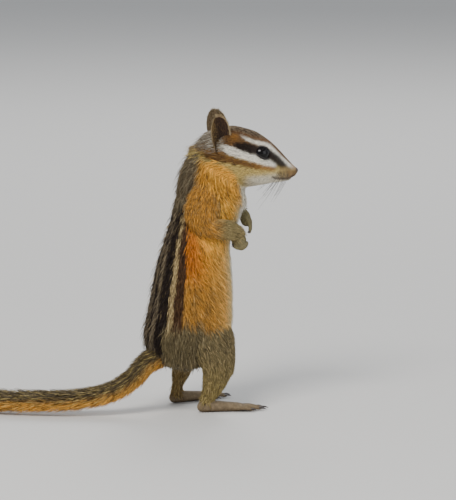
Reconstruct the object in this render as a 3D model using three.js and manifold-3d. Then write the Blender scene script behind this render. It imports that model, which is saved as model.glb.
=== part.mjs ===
// A western chipmunk standing upright on its hind feet, forepaws folded at the chest.
// Millimetres, +Z up, +X toward the side the muzzle points to, +Y toward the animal's left.
import * as THREE from 'three';
import { mergeVertices } from 'three/addons/utils/BufferGeometryUtils.js';
import Module from 'manifold-3d';

const wasm = await Module();
wasm.setup();

// Driving dimensions
const gap = 0.3; // air between two neighbouring nodes
const trunk_yaw = 28; // degrees the trunk is turned about +Z from +X
const head_yaw = 6;
const head_fullness = 0.84;
const eye_radius = 3.25;
const eye_tilt = 20;
const ear_height = 13.9;
const ear_width = 9.2;
const ear_thickness = 0.75;
const finger_spacing = 1.3;
const hair_length = 8.5; // tail locks, root to tip
const tail_core = 2.6; // radius of the skin and underfur of the tail

const rad = (degrees) => degrees * Math.PI / 180;
const v3 = (x, y, z) => new THREE.Vector3(x, y, z);
const up = v3(0, 0, 1);
const forward = (yaw) => v3(Math.cos(rad(yaw)), Math.sin(rad(yaw)), 0);

function seeded(seed) {
  let state = seed;
  return () => {
    state = (state * 1664525 + 1013904223) % 4294967296;
    return state / 4294967296;
  };
}

// Bodies as manifolds, so that they can be joined and cut.
function solid(geometry) {
  const bare = geometry.clone();
  bare.deleteAttribute('normal');
  bare.deleteAttribute('uv');
  const merged = mergeVertices(bare, 1e-4);
  return new wasm.Manifold(new wasm.Mesh({
    numProp: 3,
    vertProperties: Float32Array.from(merged.attributes.position.array),
    triVerts: Uint32Array.from(merged.index.array),
  }));
}

function geometry_of(body) {
  const mesh = body.getMesh();
  const geometry = new THREE.BufferGeometry();
  const points = Float32Array.from(mesh.vertProperties);
  geometry.setAttribute('position', new THREE.BufferAttribute(points, 3));
  geometry.setIndex(Array.from(mesh.triVerts));
  geometry.computeVertexNormals();
  return geometry;
}

// Closed body from a run of rings with the same point count and a pole at each end.
function ring_body(rings, first_pole, last_pole) {
  const count = rings[0].length;
  const points = [];
  for (const ring of rings) for (const p of ring) points.push(p.x, p.y, p.z);
  const first = points.length / 3;
  points.push(first_pole.x, first_pole.y, first_pole.z);
  points.push(last_pole.x, last_pole.y, last_pole.z);
  const faces = [];
  for (let r = 0; r + 1 < rings.length; r++) {
    for (let i = 0; i < count; i++) {
      const a = r * count + i;
      const b = r * count + (i + 1) % count;
      faces.push(a, b, b + count, a, b + count, a + count);
    }
  }
  const top = (rings.length - 1) * count;
  for (let i = 0; i < count; i++) {
    const next = (i + 1) % count;
    faces.push(first, next, i);
    faces.push(first + 1, top + i, top + next);
  }
  const geometry = new THREE.BufferGeometry();
  geometry.setAttribute('position', new THREE.Float32BufferAttribute(points, 3));
  geometry.setIndex(faces);
  const body = solid(geometry);
  if (body.volume() > 0) return body;
  for (let k = 0; k < faces.length; k += 3) {
    [faces[k + 1], faces[k + 2]] = [faces[k + 2], faces[k + 1]];
  }
  geometry.setIndex(faces);
  return solid(geometry);
}

// Value of a table of rows at a place between 0 and 1, through a smooth curve.
function sample(rows, place) {
  const spot = Math.min(Math.max(place, 0), 1) * (rows.length - 1);
  const i = Math.min(Math.floor(spot), rows.length - 2);
  const f = spot - i;
  const row = (k) => rows[Math.min(Math.max(k, 0), rows.length - 1)];
  return rows[0].map((unused, c) => {
    const [a, b, d, e] = [row(i - 1)[c], row(i)[c], row(i + 1)[c], row(i + 2)[c]];
    const m0 = (d - a) / 2;
    const m1 = (e - b) / 2;
    const f2 = f * f;
    const f3 = f2 * f;
    return (2 * f3 - 3 * f2 + 1) * b + (f3 - 2 * f2 + f) * m0
      + (3 * f2 - 2 * f3) * d + (f3 - f2) * m1;
  });
}

// Trunk, neck and head: rows of [x, y, z, dorsal, ventral, half width, yaw, pitch].
// Pitch 0 is a level section, pitch 90 an upright one; the ventral side faces forward.
// The last value squares the section off: 1 is an ellipse, less is fuller at the corners.
function section(row, angle, grow) {
  const [x, y, z, dorsal, ventral, wide, yaw, pitch, full = 1] = row;
  const front = forward(yaw);
  const belly = front.clone().multiplyScalar(Math.cos(rad(pitch)))
    .addScaledVector(up, -Math.sin(rad(pitch)));
  const side = v3(-front.y, front.x, 0);
  const deep = Math.cos(angle) > 0 ? ventral : dorsal;
  const squared = (value) => Math.sign(value) * Math.abs(value) ** full;
  return v3(x, y, z)
    .addScaledVector(belly, squared(Math.cos(angle)) * (deep + grow))
    .addScaledVector(side, squared(Math.sin(angle)) * (wide + grow));
}

function loft(rows, sides, steps, grow, first_dome, last_dome) {
  const rings = [];
  const ring = (row, shrink, shift) => {
    const small = row.slice();
    for (const c of [3, 4, 5]) small[c] = (row[c] + grow) * shrink - grow;
    const out = [];
    for (let i = 0; i < sides; i++) {
      out.push(section(small, 2 * Math.PI * i / sides, grow).add(shift));
    }
    rings.push(out);
  };
  const axis = (row) => forward(row[6]).multiplyScalar(Math.sin(rad(row[7])))
    .addScaledVector(up, Math.cos(rad(row[7])));
  const none = v3(0, 0, 0);
  const start = rows[0];
  const finish = rows[rows.length - 1];
  for (const a of [65, 35]) {
    ring(start, Math.cos(rad(a)), axis(start).multiplyScalar(-(first_dome + grow) * Math.sin(rad(a))));
  }
  for (let k = 0; k <= steps; k++) ring(sample(rows, k / steps), 1, none);
  for (const a of [35, 65]) {
    ring(finish, Math.cos(rad(a)), axis(finish).multiplyScalar((last_dome + grow) * Math.sin(rad(a))));
  }
  const pole = (row, reach) => v3(row[0], row[1], row[2]).addScaledVector(axis(row), reach);
  return ring_body(rings, pole(start, -first_dome - grow), pole(finish, last_dome + grow));
}

// Limbs, digits and claws: rows of [x, y, z, radius across, radius deep].
function frame_at(rows, place, across) {
  const here = sample(rows, place);
  const before = sample(rows, place - 0.02);
  const after = sample(rows, place + 0.02);
  const along = v3(after[0] - before[0], after[1] - before[1], after[2] - before[2]).normalize();
  const wide = across.clone().addScaledVector(along, -across.dot(along)).normalize();
  const deep = v3(0, 0, 0).crossVectors(along, wide);
  return { here, along, wide, deep };
}

function limb(rows, { sides = 12, steps = 6, grow = 0, across = v3(0, 1, 0), sharp = false }) {
  const rings = [];
  const add = (f, shrink, shift) => {
    const out = [];
    for (let i = 0; i < sides; i++) {
      const a = 2 * Math.PI * i / sides;
      out.push(v3(f.here[0], f.here[1], f.here[2])
        .addScaledVector(f.along, shift)
        .addScaledVector(f.wide, Math.cos(a) * (f.here[3] + grow) * shrink)
        .addScaledVector(f.deep, Math.sin(a) * (f.here[4] + grow) * shrink));
    }
    rings.push(out);
  };
  const start = frame_at(rows, 0, across);
  const finish = frame_at(rows, 1, across);
  const reach = (f) => (f.here[3] + f.here[4]) / 2 + grow;
  add(start, 0.72, -reach(start) * 0.6);
  for (let k = 0; k <= steps; k++) add(frame_at(rows, k / steps, across), 1, 0);
  if (!sharp) add(finish, 0.72, reach(finish) * 0.6);
  const pole = (f, far) => v3(f.here[0], f.here[1], f.here[2]).addScaledVector(f.along, far);
  return ring_body(rings, pole(start, -reach(start)), pole(finish, reach(finish) * (sharp ? 1.5 : 1)));
}

function ball(center, radii, yaw = 0, pitch = 0, detail = 12) {
  const geometry = new THREE.SphereGeometry(1, detail, Math.round(detail * 0.6));
  geometry.scale(radii[0], radii[1], radii[2]);
  geometry.rotateY(rad(pitch));
  geometry.rotateZ(rad(yaw));
  geometry.translate(center.x, center.y, center.z);
  return solid(geometry);
}

// All that lies on the side of a plane the normal points to.
function half_space(point, normal) {
  const size = 400;
  const box = new THREE.BoxGeometry(size, size, size);
  box.translate(0, 0, size / 2);
  const turn = new THREE.Quaternion().setFromUnitVectors(up, normal.clone().normalize());
  box.applyQuaternion(turn);
  box.translate(point.x, point.y, point.z);
  return solid(box);
}

function between(body, low, high) {
  let out = body;
  if (low) {
    const n = low.normal.clone().normalize();
    out = out.intersect(half_space(low.point.clone().addScaledVector(n, gap / 2), n));
  }
  if (high) {
    const n = high.normal.clone().normalize().negate();
    out = out.intersect(half_space(high.point.clone().addScaledVector(n, gap / 2), n));
  }
  return out;
}

function largest(body) {
  const parts = body.decompose();
  parts.sort((a, b) => b.volume() - a.volume());
  return parts[0];
}

const above_floor = half_space(v3(0, 0, 0), up);

// Trunk
const trunk_rows = [
  [-5.2, -3.4, 24, 15.6, 13.6, 14.4, trunk_yaw, 0],
  [-4.5, -3.2, 29.5, 17.2, 16.0, 15.8, trunk_yaw, 0],
  [-3.8, -2.8, 35, 17.1, 16.6, 16.0, trunk_yaw, 0],
  [-3.2, -2.6, 41, 16.4, 16.0, 15.6, 28, 0],
  [-2.6, -2.4, 49, 15.5, 15.3, 14.8, 27, 0],
  [-2.0, -2.1, 57, 14.3, 14.2, 13.6, 26, 0],
  [-0.6, -1.6, 65, 13.2, 12.6, 12.6, 24, 0],
  [2.1, -0.3, 74, 13.3, 13.8, 12.2, 22, 0],
  [4.2, 0.8, 81.5, 13.7, 14.2, 11.8, 20, 4],
];
const neck_rows = [
  [4.4, 0.8, 80, 13.7, 14.0, 11.6, 18, 4],
  [5.4, 0.9, 85.5, 14.2, 13.0, 11.0, 15, 9],
  [7.6, 1.0, 90, 14.6, 13.0, 10.6, 12, 18],
  [10.0, 1.1, 93.5, 14.0, 11.0, 10.2, 8, 32],
];
const trunk = loft(trunk_rows, 24, 13, 0, 8, 4);
const neck_whole = loft(neck_rows, 24, 6, 0, 3, 3);

// Head: rows of [reach along the head, top, bottom, widest level, half width].
const head_root = v3(1.9, 0.74, 0);
const head_profile = [
  [-2.2, 102.4, 91.5, 97.2, 6.2],
  [1.5, 106.2, 88.0, 96.8, 9.4],
  [5.0, 107.9, 85.7, 96.2, 10.8],
  [8.8, 108.8, 84.5, 95.7, 11.3],
  [12.6, 108.6, 84.1, 95.2, 11.2],
  [16.0, 107.7, 84.4, 94.8, 10.6],
  [19.5, 106.4, 84.9, 94.0, 9.5],
  [22.5, 104.5, 85.4, 93.2, 8.1],
  [25.6, 102.0, 86.0, 92.2, 6.5],
  [28.7, 98.8, 86.8, 91.2, 4.9],
  [31.2, 95.9, 87.4, 90.8, 3.8],
  [33.2, 93.7, 88.1, 90.6, 2.8],
  [34.6, 92.3, 89.1, 90.5, 1.5],
];
const head_rows = head_profile.map(([reach, top, bottom, level, wide]) => {
  const p = head_root.clone().addScaledVector(forward(head_yaw), reach);
  return [p.x, p.y, level, top - level, level - bottom, wide, head_yaw, 90, head_fullness];
});
const head_side = v3(-Math.sin(rad(head_yaw)), Math.cos(rad(head_yaw)), 0);
const at_head = (reach, left, z) => head_root.clone()
  .addScaledVector(forward(head_yaw), reach)
  .addScaledVector(head_side, left)
  .setZ(z);
const head_loft = (grow) => loft(head_rows, 24, 16, grow, 3.0, 0.7);

// Half width of the head at a reach and a level, for forms that follow its surface.
function head_half_width(reach, z) {
  const table = head_profile;
  let i = 0;
  while (i < table.length - 2 && table[i + 1][0] < reach) i++;
  const f = (reach - table[i][0]) / (table[i + 1][0] - table[i][0]);
  const [, top, bottom, level, wide] = table[i].map((c, k) => c + (table[i + 1][k] - c) * f);
  const span = z > level ? top - level : level - bottom;
  const across = 1 - Math.abs((z - level) / span) ** (2 / head_fullness);
  return wide * Math.max(0, across) ** (head_fullness / 2);
}

// A round cord along a path, used for lids, lips and the mouth line.
function cord(points, radius, sides, closed) {
  const curve = new THREE.CatmullRomCurve3(points, closed, 'centripetal');
  const count = points.length * 2;
  if (!closed) {
    const rows = [];
    for (let k = 0; k <= count; k++) {
      const p = curve.getPoint(k / count);
      rows.push([p.x, p.y, p.z, radius, radius]);
    }
    return limb(rows, { sides, steps: count, across: up });
  }
  const middle = points.reduce((sum, p) => sum.add(p), v3(0, 0, 0)).divideScalar(points.length);
  const rings = [];
  for (let k = 0; k < count; k++) {
    const p = curve.getPoint(k / count);
    const along = curve.getTangent(k / count);
    const out = p.clone().sub(middle);
    out.addScaledVector(along, -out.dot(along)).normalize();
    const deep = v3(0, 0, 0).crossVectors(along, out);
    const ring = [];
    for (let i = 0; i < sides; i++) {
      const a = 2 * Math.PI * i / sides;
      ring.push(p.clone().addScaledVector(out, radius * Math.cos(a))
        .addScaledVector(deep, radius * Math.sin(a)));
    }
    rings.push(ring);
  }
  const flat = [];
  for (const ring of rings) for (const p of ring) flat.push(p.x, p.y, p.z);
  const faces = [];
  for (let r = 0; r < count; r++) {
    const next = (r + 1) % count;
    for (let i = 0; i < sides; i++) {
      const j = (i + 1) % sides;
      faces.push(r * sides + i, next * sides + j, r * sides + j);
      faces.push(r * sides + i, next * sides + i, next * sides + j);
    }
  }
  const geometry = new THREE.BufferGeometry();
  geometry.setAttribute('position', new THREE.Float32BufferAttribute(flat, 3));
  geometry.setIndex(faces);
  const body = solid(geometry);
  if (body.volume() > 0) return body;
  for (let k = 0; k < faces.length; k += 3) {
    [faces[k + 1], faces[k + 2]] = [faces[k + 2], faces[k + 1]];
  }
  geometry.setIndex(faces);
  return solid(geometry);
}

// Eyes and lids
function eye_place(hand) {
  const reach = 20.55;
  const level = 98.35;
  const center = at_head(reach, hand * 5.85, level);
  const look = forward(head_yaw + hand * 66).multiplyScalar(0.97).addScaledVector(up, 0.22).normalize();
  const across = v3(0, 0, 0).crossVectors(up, look).normalize();
  const raise = v3(0, 0, 0).crossVectors(look, across).normalize();
  // The front corner of the lids lies lower than the rear one.
  across.applyAxisAngle(look, rad(-hand * eye_tilt));
  raise.applyAxisAngle(look, rad(-hand * eye_tilt));
  return { center, look, across, raise };
}

function lids(hand) {
  const { center, look, across, raise } = eye_place(hand);
  const points = [];
  const half_long = 3.1;
  const half_high = 2.45;
  const corners = 10;
  for (let k = 0; k < corners; k++) {
    const a = 2 * Math.PI * k / corners;
    const u = Math.cos(a) * half_long;
    const w = Math.sin(a) * half_high;
    const deep = Math.sqrt(Math.max(0.2, (eye_radius + 0.25) ** 2 - u * u - w * w));
    points.push(center.clone().addScaledVector(across, u).addScaledVector(raise, w)
      .addScaledVector(look, deep));
  }
  return cord(points, 0.62, 5, true);
}

// Ears: a cupped sheet, wide in the middle and round at the tip.
function ear_body(hand, grow) {
  const root = at_head(5.95 + hand * 0.35, hand * 8.4, 100.3);
  const lean = up.clone().addScaledVector(forward(head_yaw), -0.16).addScaledVector(head_side, hand * 0.1);
  lean.normalize();
  const open = forward(head_yaw + hand * 58);
  open.addScaledVector(lean, -open.dot(lean)).normalize();
  const across = v3(0, 0, 0).crossVectors(open, lean).normalize();
  const columns = 9;
  const levels = 9;
  const half = (t) => ear_width / 2 * (t < 0.45
    ? 0.80 + 0.2 * Math.sin(t / 0.45 * Math.PI / 2)
    : Math.sqrt(Math.max(0.0, 1 - ((t - 0.45) / 0.62) ** 2)));
  const point = (s, t, layer) => {
    const wide = half(t) + grow;
    const across_share = Math.min(1, Math.abs(s) * wide / half(t));
    const cup = 2.5 * (1 - across_share ** 2) * (1 - 0.55 * t) + 0.4 * t * t;
    const thick = (ear_thickness * (1 - 0.3 * t) + 2 * grow) * layer - grow;
    return root.clone()
      .addScaledVector(lean, t * (ear_height + 2 * grow) - grow)
      .addScaledVector(across, s * wide)
      .addScaledVector(open, 1.2 - cup - thick);
  };
  const rings = [];
  for (let k = 0; k <= levels; k++) {
    const t = k / levels;
    const ring = [];
    for (let i = 0; i < columns; i++) ring.push(point(-1 + 2 * i / (columns - 1), t, 0));
    for (let i = 0; i < columns; i++) ring.push(point(1 - 2 * i / (columns - 1), t, 1));
    rings.push(ring);
  }
  return ring_body(rings, point(0, 0, 0.5), point(0, 1.02, 0.5));
}

const eyes = { left: [], right: [] };
const sides_of = [['left', 1], ['right', -1]];
let head = head_loft(0);
for (const [, hand] of sides_of) {
  // Whisker pad, cheek and lower lip
  head = head.add(ball(at_head(29.8, hand * 2.1, 89.3), [3.6, 2.2, 2.2], head_yaw, 12, 10));
  head = head.add(lids(hand));
}
head = head.add(ball(at_head(27.4, 0, 87.0), [3.4, 2.3, 1.25], head_yaw, 8, 10));
head = head.add(ball(at_head(34.2, 0, 90.9), [1.5, 1.5, 1.25], head_yaw, 10, 10));
for (const [side, hand] of sides_of) {
  const { center } = eye_place(hand);
  const eye = (grow) => ball(center, [eye_radius + grow, eye_radius + grow, eye_radius + grow], 0, 0, 14);
  eyes[side] = eye(0);
  head = head.subtract(eye(gap));
  head = head.subtract(ball(at_head(35.0, hand * 0.85, 90.4), [0.75, 0.42, 0.38], head_yaw + hand * 30, 10, 8));
  head = head.subtract(ear_body(hand, gap * 1.7));
}
const mouth_path = [];
for (const [reach, z] of [[24.2, 89.0], [26.6, 88.0], [29.0, 87.5], [31.4, 87.6]]) {
  mouth_path.push([reach, z, head_half_width(reach, z) + 0.05]);
}
for (const [, hand] of sides_of) {
  const points = mouth_path.map(([reach, z, wide]) => at_head(reach, hand * Math.max(wide, 1.6), z));
  points.push(at_head(32.7, 0, 88.0));
  head = head.subtract(cord(points, 0.42, 5, false));
}
head = largest(head);

// Tail: rows of [x, y, z, radius across, radius deep] of the core.
const tail_path = [
  [-12.0, -7.0, 23.5],
  [-19.2, -10.8, 19.8],
  [-23.8, -12.6, 15.4],
  [-29.5, -14.2, 11.2],
  [-37.0, -15.4, 8.2],
  [-47.0, -15.8, 6.4],
  [-59.0, -15.0, 5.6],
  [-71.0, -13.0, 5.2],
  [-82.0, -10.4, 4.6],
  [-88.0, -8.8, 4.2],
];
const tail_across = v3(0.35, -0.9, 0.1);
const tail_radius = [4.2, 3.4, 3.2, 2.9, tail_core, tail_core, tail_core, 2.4, 1.9, 1.1];
const tail_rows = tail_path.map((p, i) => [...p, tail_radius[i] * 1.12, tail_radius[i]]);
const root_rows = tail_path.slice(0, 4).map((p, i) => [...p, [6.6, 4.7, 4.0, 4.2][i], [6.6, 4.5, 3.7, 3.8][i]]);
const root_cut = { point: v3(-27.0, -13.5, 13.0), normal: v3(-0.78, -0.24, -0.56) };
const middle_cut = { point: v3(-58.5, -15.05, 5.6), normal: v3(-1, 0.1, 0) };
const tail_root_whole = (grow) => limb(root_rows, { sides: 14, steps: 8, grow, across: tail_across });

function lock(place, turn, scale, random) {
  const f = frame_at(tail_rows, place, tail_across);
  const out = f.wide.clone().multiplyScalar(Math.cos(turn)).addScaledVector(f.deep, Math.sin(turn));
  const side = v3(0, 0, 0).crossVectors(f.along, out).normalize();
  const reach = hair_length * scale;
  const core = f.here[3] * 0.45;
  const base = v3(f.here[0], f.here[1], f.here[2]).addScaledVector(out, core);
  const twist = (random() - 0.5) * 0.5;
  const rings = [];
  const widths = [0.9, 1.25, 0.85];
  const tall = [0.42, 0.42, 0.3];
  const at = (t) => base.clone()
    .addScaledVector(f.along, reach * (0.30 * t + 0.62 * t * t))
    .addScaledVector(out, reach * (0.66 * t - 0.20 * t * t))
    .addScaledVector(side, twist * reach * t * t * 0.5);
  for (let k = 0; k < 3; k++) {
    const t = [0, 0.36, 0.74][k];
    const p = at(t);
    const along = at(t + 0.05).sub(at(t)).normalize();
    const face = v3(0, 0, 0).crossVectors(side, along).normalize();
    rings.push([
      p.clone().addScaledVector(side, widths[k]),
      p.clone().addScaledVector(face, tall[k]),
      p.clone().addScaledVector(side, -widths[k]),
      p.clone().addScaledVector(face, -tall[k]),
    ]);
  }
  return ring_body(rings, at(-0.06), at(1));
}

const tail_whole = limb(tail_rows, { sides: 8, steps: 14, across: tail_across });
const locks = [];
const lock_count = 56;
const draw = seeded(71);
for (let k = 0; k < lock_count; k++) {
  const place = 0.36 + 0.64 * k / (lock_count - 1);
  const turn = k * 2.39996 + (draw() - 0.5) * 0.5;
  const taper = place > 0.9 ? 1.0 - (place - 0.9) * 1.5 : 1;
  locks.push(lock(Math.min(place, 0.995), turn, taper * (0.85 + 0.25 * draw()), draw));
}
for (let k = 0; k < 5; k++) locks.push(lock(0.995, k * 1.2566, 0.9, draw));

// Hind legs
const right = -1;
const thigh_rows = {
  right: [[-1.0, -8.0, 39, 5.0, 7.6], [1.6, -10.0, 33.5, 6.4, 9.8], [4.4, -11.6, 27.5, 6.8, 9.8],
    [6.3, -12.0, 22.0, 6.0, 8.2], [6.9, -11.6, 17.6, 5.2, 7.2]],
  left: [[-11.0, 5.6, 38, 5.0, 7.6], [-9.6, 8.2, 32.5, 6.4, 9.6], [-7.8, 10.6, 26.5, 6.4, 8.6],
    [-6.8, 11.6, 21.0, 5.4, 6.4], [-6.6, 11.4, 16.8, 4.7, 5.4]],
};
const shin_rows = {
  right: [[6.7, -11.4, 17.4, 4.8, 6.6], [5.7, -10.6, 12.8, 4.2, 5.5], [4.1, -9.7, 8.2, 3.3, 4.1],
    [2.4, -8.9, 4.8, 2.6, 3.0]],
  left: [[-6.6, 11.3, 16.6, 4.4, 5.1], [-7.2, 10.6, 13.0, 3.8, 4.3], [-8.4, 9.6, 8.6, 2.9, 3.0],
    [-9.2, 8.8, 4.8, 2.5, 2.5]],
};
const across_leg = v3(-0.4, 0.9, 0);
const thigh = (side, grow) => limb(thigh_rows[side], { sides: 14, steps: 7, grow, across: across_leg });
const shin = (side, grow) => limb(shin_rows[side], { sides: 12, steps: 6, grow, across: across_leg });

function chain(points, radii) {
  return points.map((p, i) => [p.x, p.y, p.z, radii[i][0], radii[i][1]]);
}

function foot(side, hand) {
  const heel = side === 'right' ? v3(0.2, -9.7, 0) : v3(-10.6, 8.2, 0);
  const yaw = side === 'right' ? 14 : 34;
  const ahead = forward(yaw);
  const left = v3(-ahead.y, ahead.x, 0);
  const spot = (along, aside, z) => heel.clone().addScaledVector(ahead, along)
    .addScaledVector(left, aside).setZ(z);
  const sole = limb(chain(
    [spot(0.6, 0, 2.2), spot(5, 0, 2.2), spot(10, 0, 1.9), spot(14.6, 0, 1.6)],
    [[2.0, 2.2], [2.2, 2.3], [2.6, 2.0], [3.1, 1.7]],
  ), { sides: 10, steps: 4, across: left });
  const ankle = limb(chain(
    [spot(2.0, 0, 5.4), spot(3.0, 0, 3.2), spot(5.4, 0, 2.2)],
    [[2.1, 2.3], [2.3, 2.5], [2.2, 2.2]],
  ), { sides: 8, steps: 3, across: left });
  let body = sole.add(ankle);
  const toes = [[-2.5, 14.0, 4.8, -16], [-1.35, 15.2, 7.0, -7], [0, 15.4, 7.9, 0], [1.35, 15.2, 7.1, 8],
    [2.5, 11.6, 5.2, 20]];
  for (const [aside, start, length, splay] of toes) {
    const spread = Math.sin(rad(splay));
    const far = (t, z) => spot(start + length * t, (aside + spread * length * t) * hand * -1, z);
    body = body.add(limb(chain(
      [far(-0.2, 1.5), far(0.3, 1.6), far(0.65, 1.45), far(1, 0.95)],
      [[0.85, 0.95], [0.8, 0.95], [0.72, 0.85], [0.7, 0.7]],
    ), { sides: 6, steps: 3, across: left }));
    body = body.add(limb(chain(
      [far(1, 1.1), far(1.22, 1.1), far(1.42, 0.6)],
      [[0.5, 0.5], [0.36, 0.42], [0.16, 0.18]],
    ), { sides: 4, steps: 2, across: left, sharp: true }));
  }
  return largest(body.intersect(above_floor));
}

// Arms
const upper_arm_rows = {
  right: [[3.4, -7.4, 85.5, 3.2, 5.6], [1.8, -9.6, 81, 4.0, 7.0], [1.2, -10.9, 76, 4.3, 7.4],
    [2.0, -11.6, 72.8, 4.0, 5.6]],
  left: [[-1.6, 9.2, 83, 3.2, 5.4], [-3.2, 10.6, 77.5, 3.8, 6.2], [-3.6, 11.6, 71.4, 3.8, 5.6],
    [-2.4, 12.2, 67.0, 3.4, 4.4]],
};
const forearm_rows = {
  right: [[4.2, -12.2, 71.8, 3.3, 4.1], [9.2, -11.8, 70.7, 3.1, 3.9], [13.5, -9.8, 69.2, 2.7, 3.3]],
  left: [[-1.4, 12.4, 67.4, 3.1, 3.6], [4.0, 12.0, 70.5, 2.8, 3.2], [9.4, 10.2, 73.8, 2.4, 2.6],
    [14.2, 7.8, 75.3, 2.1, 2.2]],
};
const palm_rows = {
  right: [[13.7, -9.2, 68.3, 2.3, 2.9], [14.7, -8.6, 66.3, 2.6, 3.0], [15.1, -8.2, 64.9, 2.6, 2.6]],
  left: [[15.0, 6.9, 75.0, 1.9, 2.2], [16.8, 5.3, 73.4, 2.3, 2.3], [17.5, 4.6, 71.4, 2.4, 2.1]],
};
const arm_across = v3(0.3, -0.9, 0.2);
const upper_arm = (side, grow) => limb(upper_arm_rows[side], { sides: 14, steps: 7, grow, across: arm_across });
const forearm = (side, grow) => limb(forearm_rows[side], { sides: 12, steps: 5, grow, across: arm_across });
const palm_across = { right: v3(0.2, 0.95, 0.2), left: v3(0.5, 0.85, 0) };
const palm = (side, grow) => limb(palm_rows[side], { sides: 10, steps: 4, grow, across: palm_across[side] });

function hand_body(side) {
  let body = palm(side, 0);
  const curl = side === 'right'
    ? { knuckle: v3(16.2, -8.1, 63.7), row: v3(0.2, 0.95, 0.2), out: v3(-0.93, 0.1, -0.12), under: v3(-0.25, 0.05, 0.6) }
    : { knuckle: v3(18.6, 4.3, 71.2), row: v3(0.12, 0.98, 0.1), out: v3(0.3, -0.1, -0.93), under: v3(-0.38, 0, -0.35) };
  const across = curl.row.clone().normalize();
  for (let k = 0; k < 4; k++) {
    const slot = (k - 1.5) * finger_spacing;
    const long = [3.4, 4.0, 3.9, 3.2][k];
    const far = (t, deep) => curl.knuckle.clone().addScaledVector(across, slot)
      .addScaledVector(curl.out, long * t)
      .addScaledVector(curl.under, deep);
    body = body.add(limb(chain(
      [far(-0.45, 0.9), far(-0.08, -0.3), far(0.3, -0.3), far(0.66, 0.4), far(0.86, 1.5)],
      [[0.62, 0.8], [0.66, 0.8], [0.6, 0.72], [0.58, 0.64], [0.56, 0.56]],
    ), { sides: 6, steps: 3, across }));
    body = body.add(limb(chain(
      [far(0.84, 1.4), far(0.86, 2.4), far(0.74, 3.2)],
      [[0.42, 0.42], [0.32, 0.38], [0.14, 0.16]],
    ), { sides: 4, steps: 2, across, sharp: true }));
  }
  return largest(body);
}

// Parting of the trunk
const cuts = {
  neck: { point: v3(4.4, 0.8, 83.4), normal: v3(0.14, 0.05, 1) },
  chest: { point: v3(-1.6, -2, 58.5), normal: v3(0.12, 0.06, 1) },
  belly: { point: v3(-3.5, -2.8, 38), normal: v3(0.1, 0.05, 1) },
};

const whole = trunk.add(neck_whole);
const body_of = {};
body_of.head = head;
body_of.eye_left = eyes.left;
body_of.eye_right = eyes.right;
body_of.ear_left = ear_body(1, 0);
body_of.ear_right = ear_body(-1, 0);
body_of.neck = between(whole, cuts.neck, null).subtract(head_loft(gap));
body_of.chest = between(whole, cuts.chest, cuts.neck).subtract(head_loft(gap));
body_of.belly = between(whole, cuts.belly, cuts.chest);
body_of.rump = between(whole, null, cuts.belly).subtract(tail_root_whole(gap));
for (const [side, hand] of sides_of) {
  const fore = forearm(side, gap);
  const upper = upper_arm(side, gap);
  const grown_palm = palm(side, gap);
  body_of.neck = body_of.neck.subtract(upper);
  body_of.chest = body_of.chest.subtract(upper).subtract(fore).subtract(grown_palm);
  body_of.belly = body_of.belly.subtract(upper).subtract(fore).subtract(grown_palm);
  body_of['upper_arm_' + side] = largest(upper_arm(side, 0).subtract(fore));
  body_of['forearm_' + side] = largest(forearm(side, 0).subtract(grown_palm));
  body_of['hand_' + side] = hand_body(side);
  const leg = thigh(side, gap * 1.6);
  const low = shin(side, gap);
  body_of.belly = body_of.belly.subtract(leg);
  body_of.rump = body_of.rump.subtract(leg).subtract(low);
  const foot_whole = foot(side, hand);
  body_of['foot_' + side] = foot_whole.subtract(low);
  body_of['shin_' + side] = shin(side, 0).intersect(above_floor);
  body_of['thigh_' + side] = largest(thigh(side, 0).subtract(low));
}

body_of.tail_root = between(tail_root_whole(0), null, root_cut);
let tail = tail_whole;
for (const one of locks) tail = tail.add(one);
tail = tail.intersect(above_floor);
body_of.tail_middle = between(tail, root_cut, middle_cut);
body_of.tail_tip = between(tail, middle_cut, null);

const colours = {
  head: 0x7a5a3c, neck: 0x84684a, chest: 0xa8743f, belly: 0xb08048, rump: 0x7b6a4e,
  eye: 0x120c0a, ear: 0x4a3427, upper: 0x8a6a45, forearm: 0x8c7355, hand: 0x8d7a6c,
  thigh: 0x77684c, shin: 0x5d4a38, foot: 0x6b5848, tail: 0x6d5334,
};

// Surface detail finer than this is let go.
const slack = { head: 0.05, tail_middle: 0.09, tail_tip: 0.09, eye_left: 0.01, eye_right: 0.01 };

const group = new THREE.Group();
group.name = 'chipmunk';
for (const [name, body] of Object.entries(body_of)) {
  const part = largest(body).simplify(slack[name] ?? 0.045);
  const material = new THREE.MeshStandardMaterial({
    color: colours[name.split('_')[0]],
    roughness: name.startsWith('eye') ? 0.08 : 0.85,
    metalness: 0,
  });
  const mesh = new THREE.Mesh(geometry_of(part), material);
  mesh.name = name;
  group.add(mesh);
}

// The origin is the middle of the footprint, at floor level.
const bounds = new THREE.Box3().setFromObject(group);
const middle = bounds.getCenter(v3(0, 0, 0));
for (const mesh of group.children) {
  mesh.geometry.translate(-middle.x, -middle.y, -bounds.min.z);
}

export default group;
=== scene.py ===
import math

import bpy
import numpy as np
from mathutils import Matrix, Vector
from mathutils.kdtree import KDTree


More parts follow.
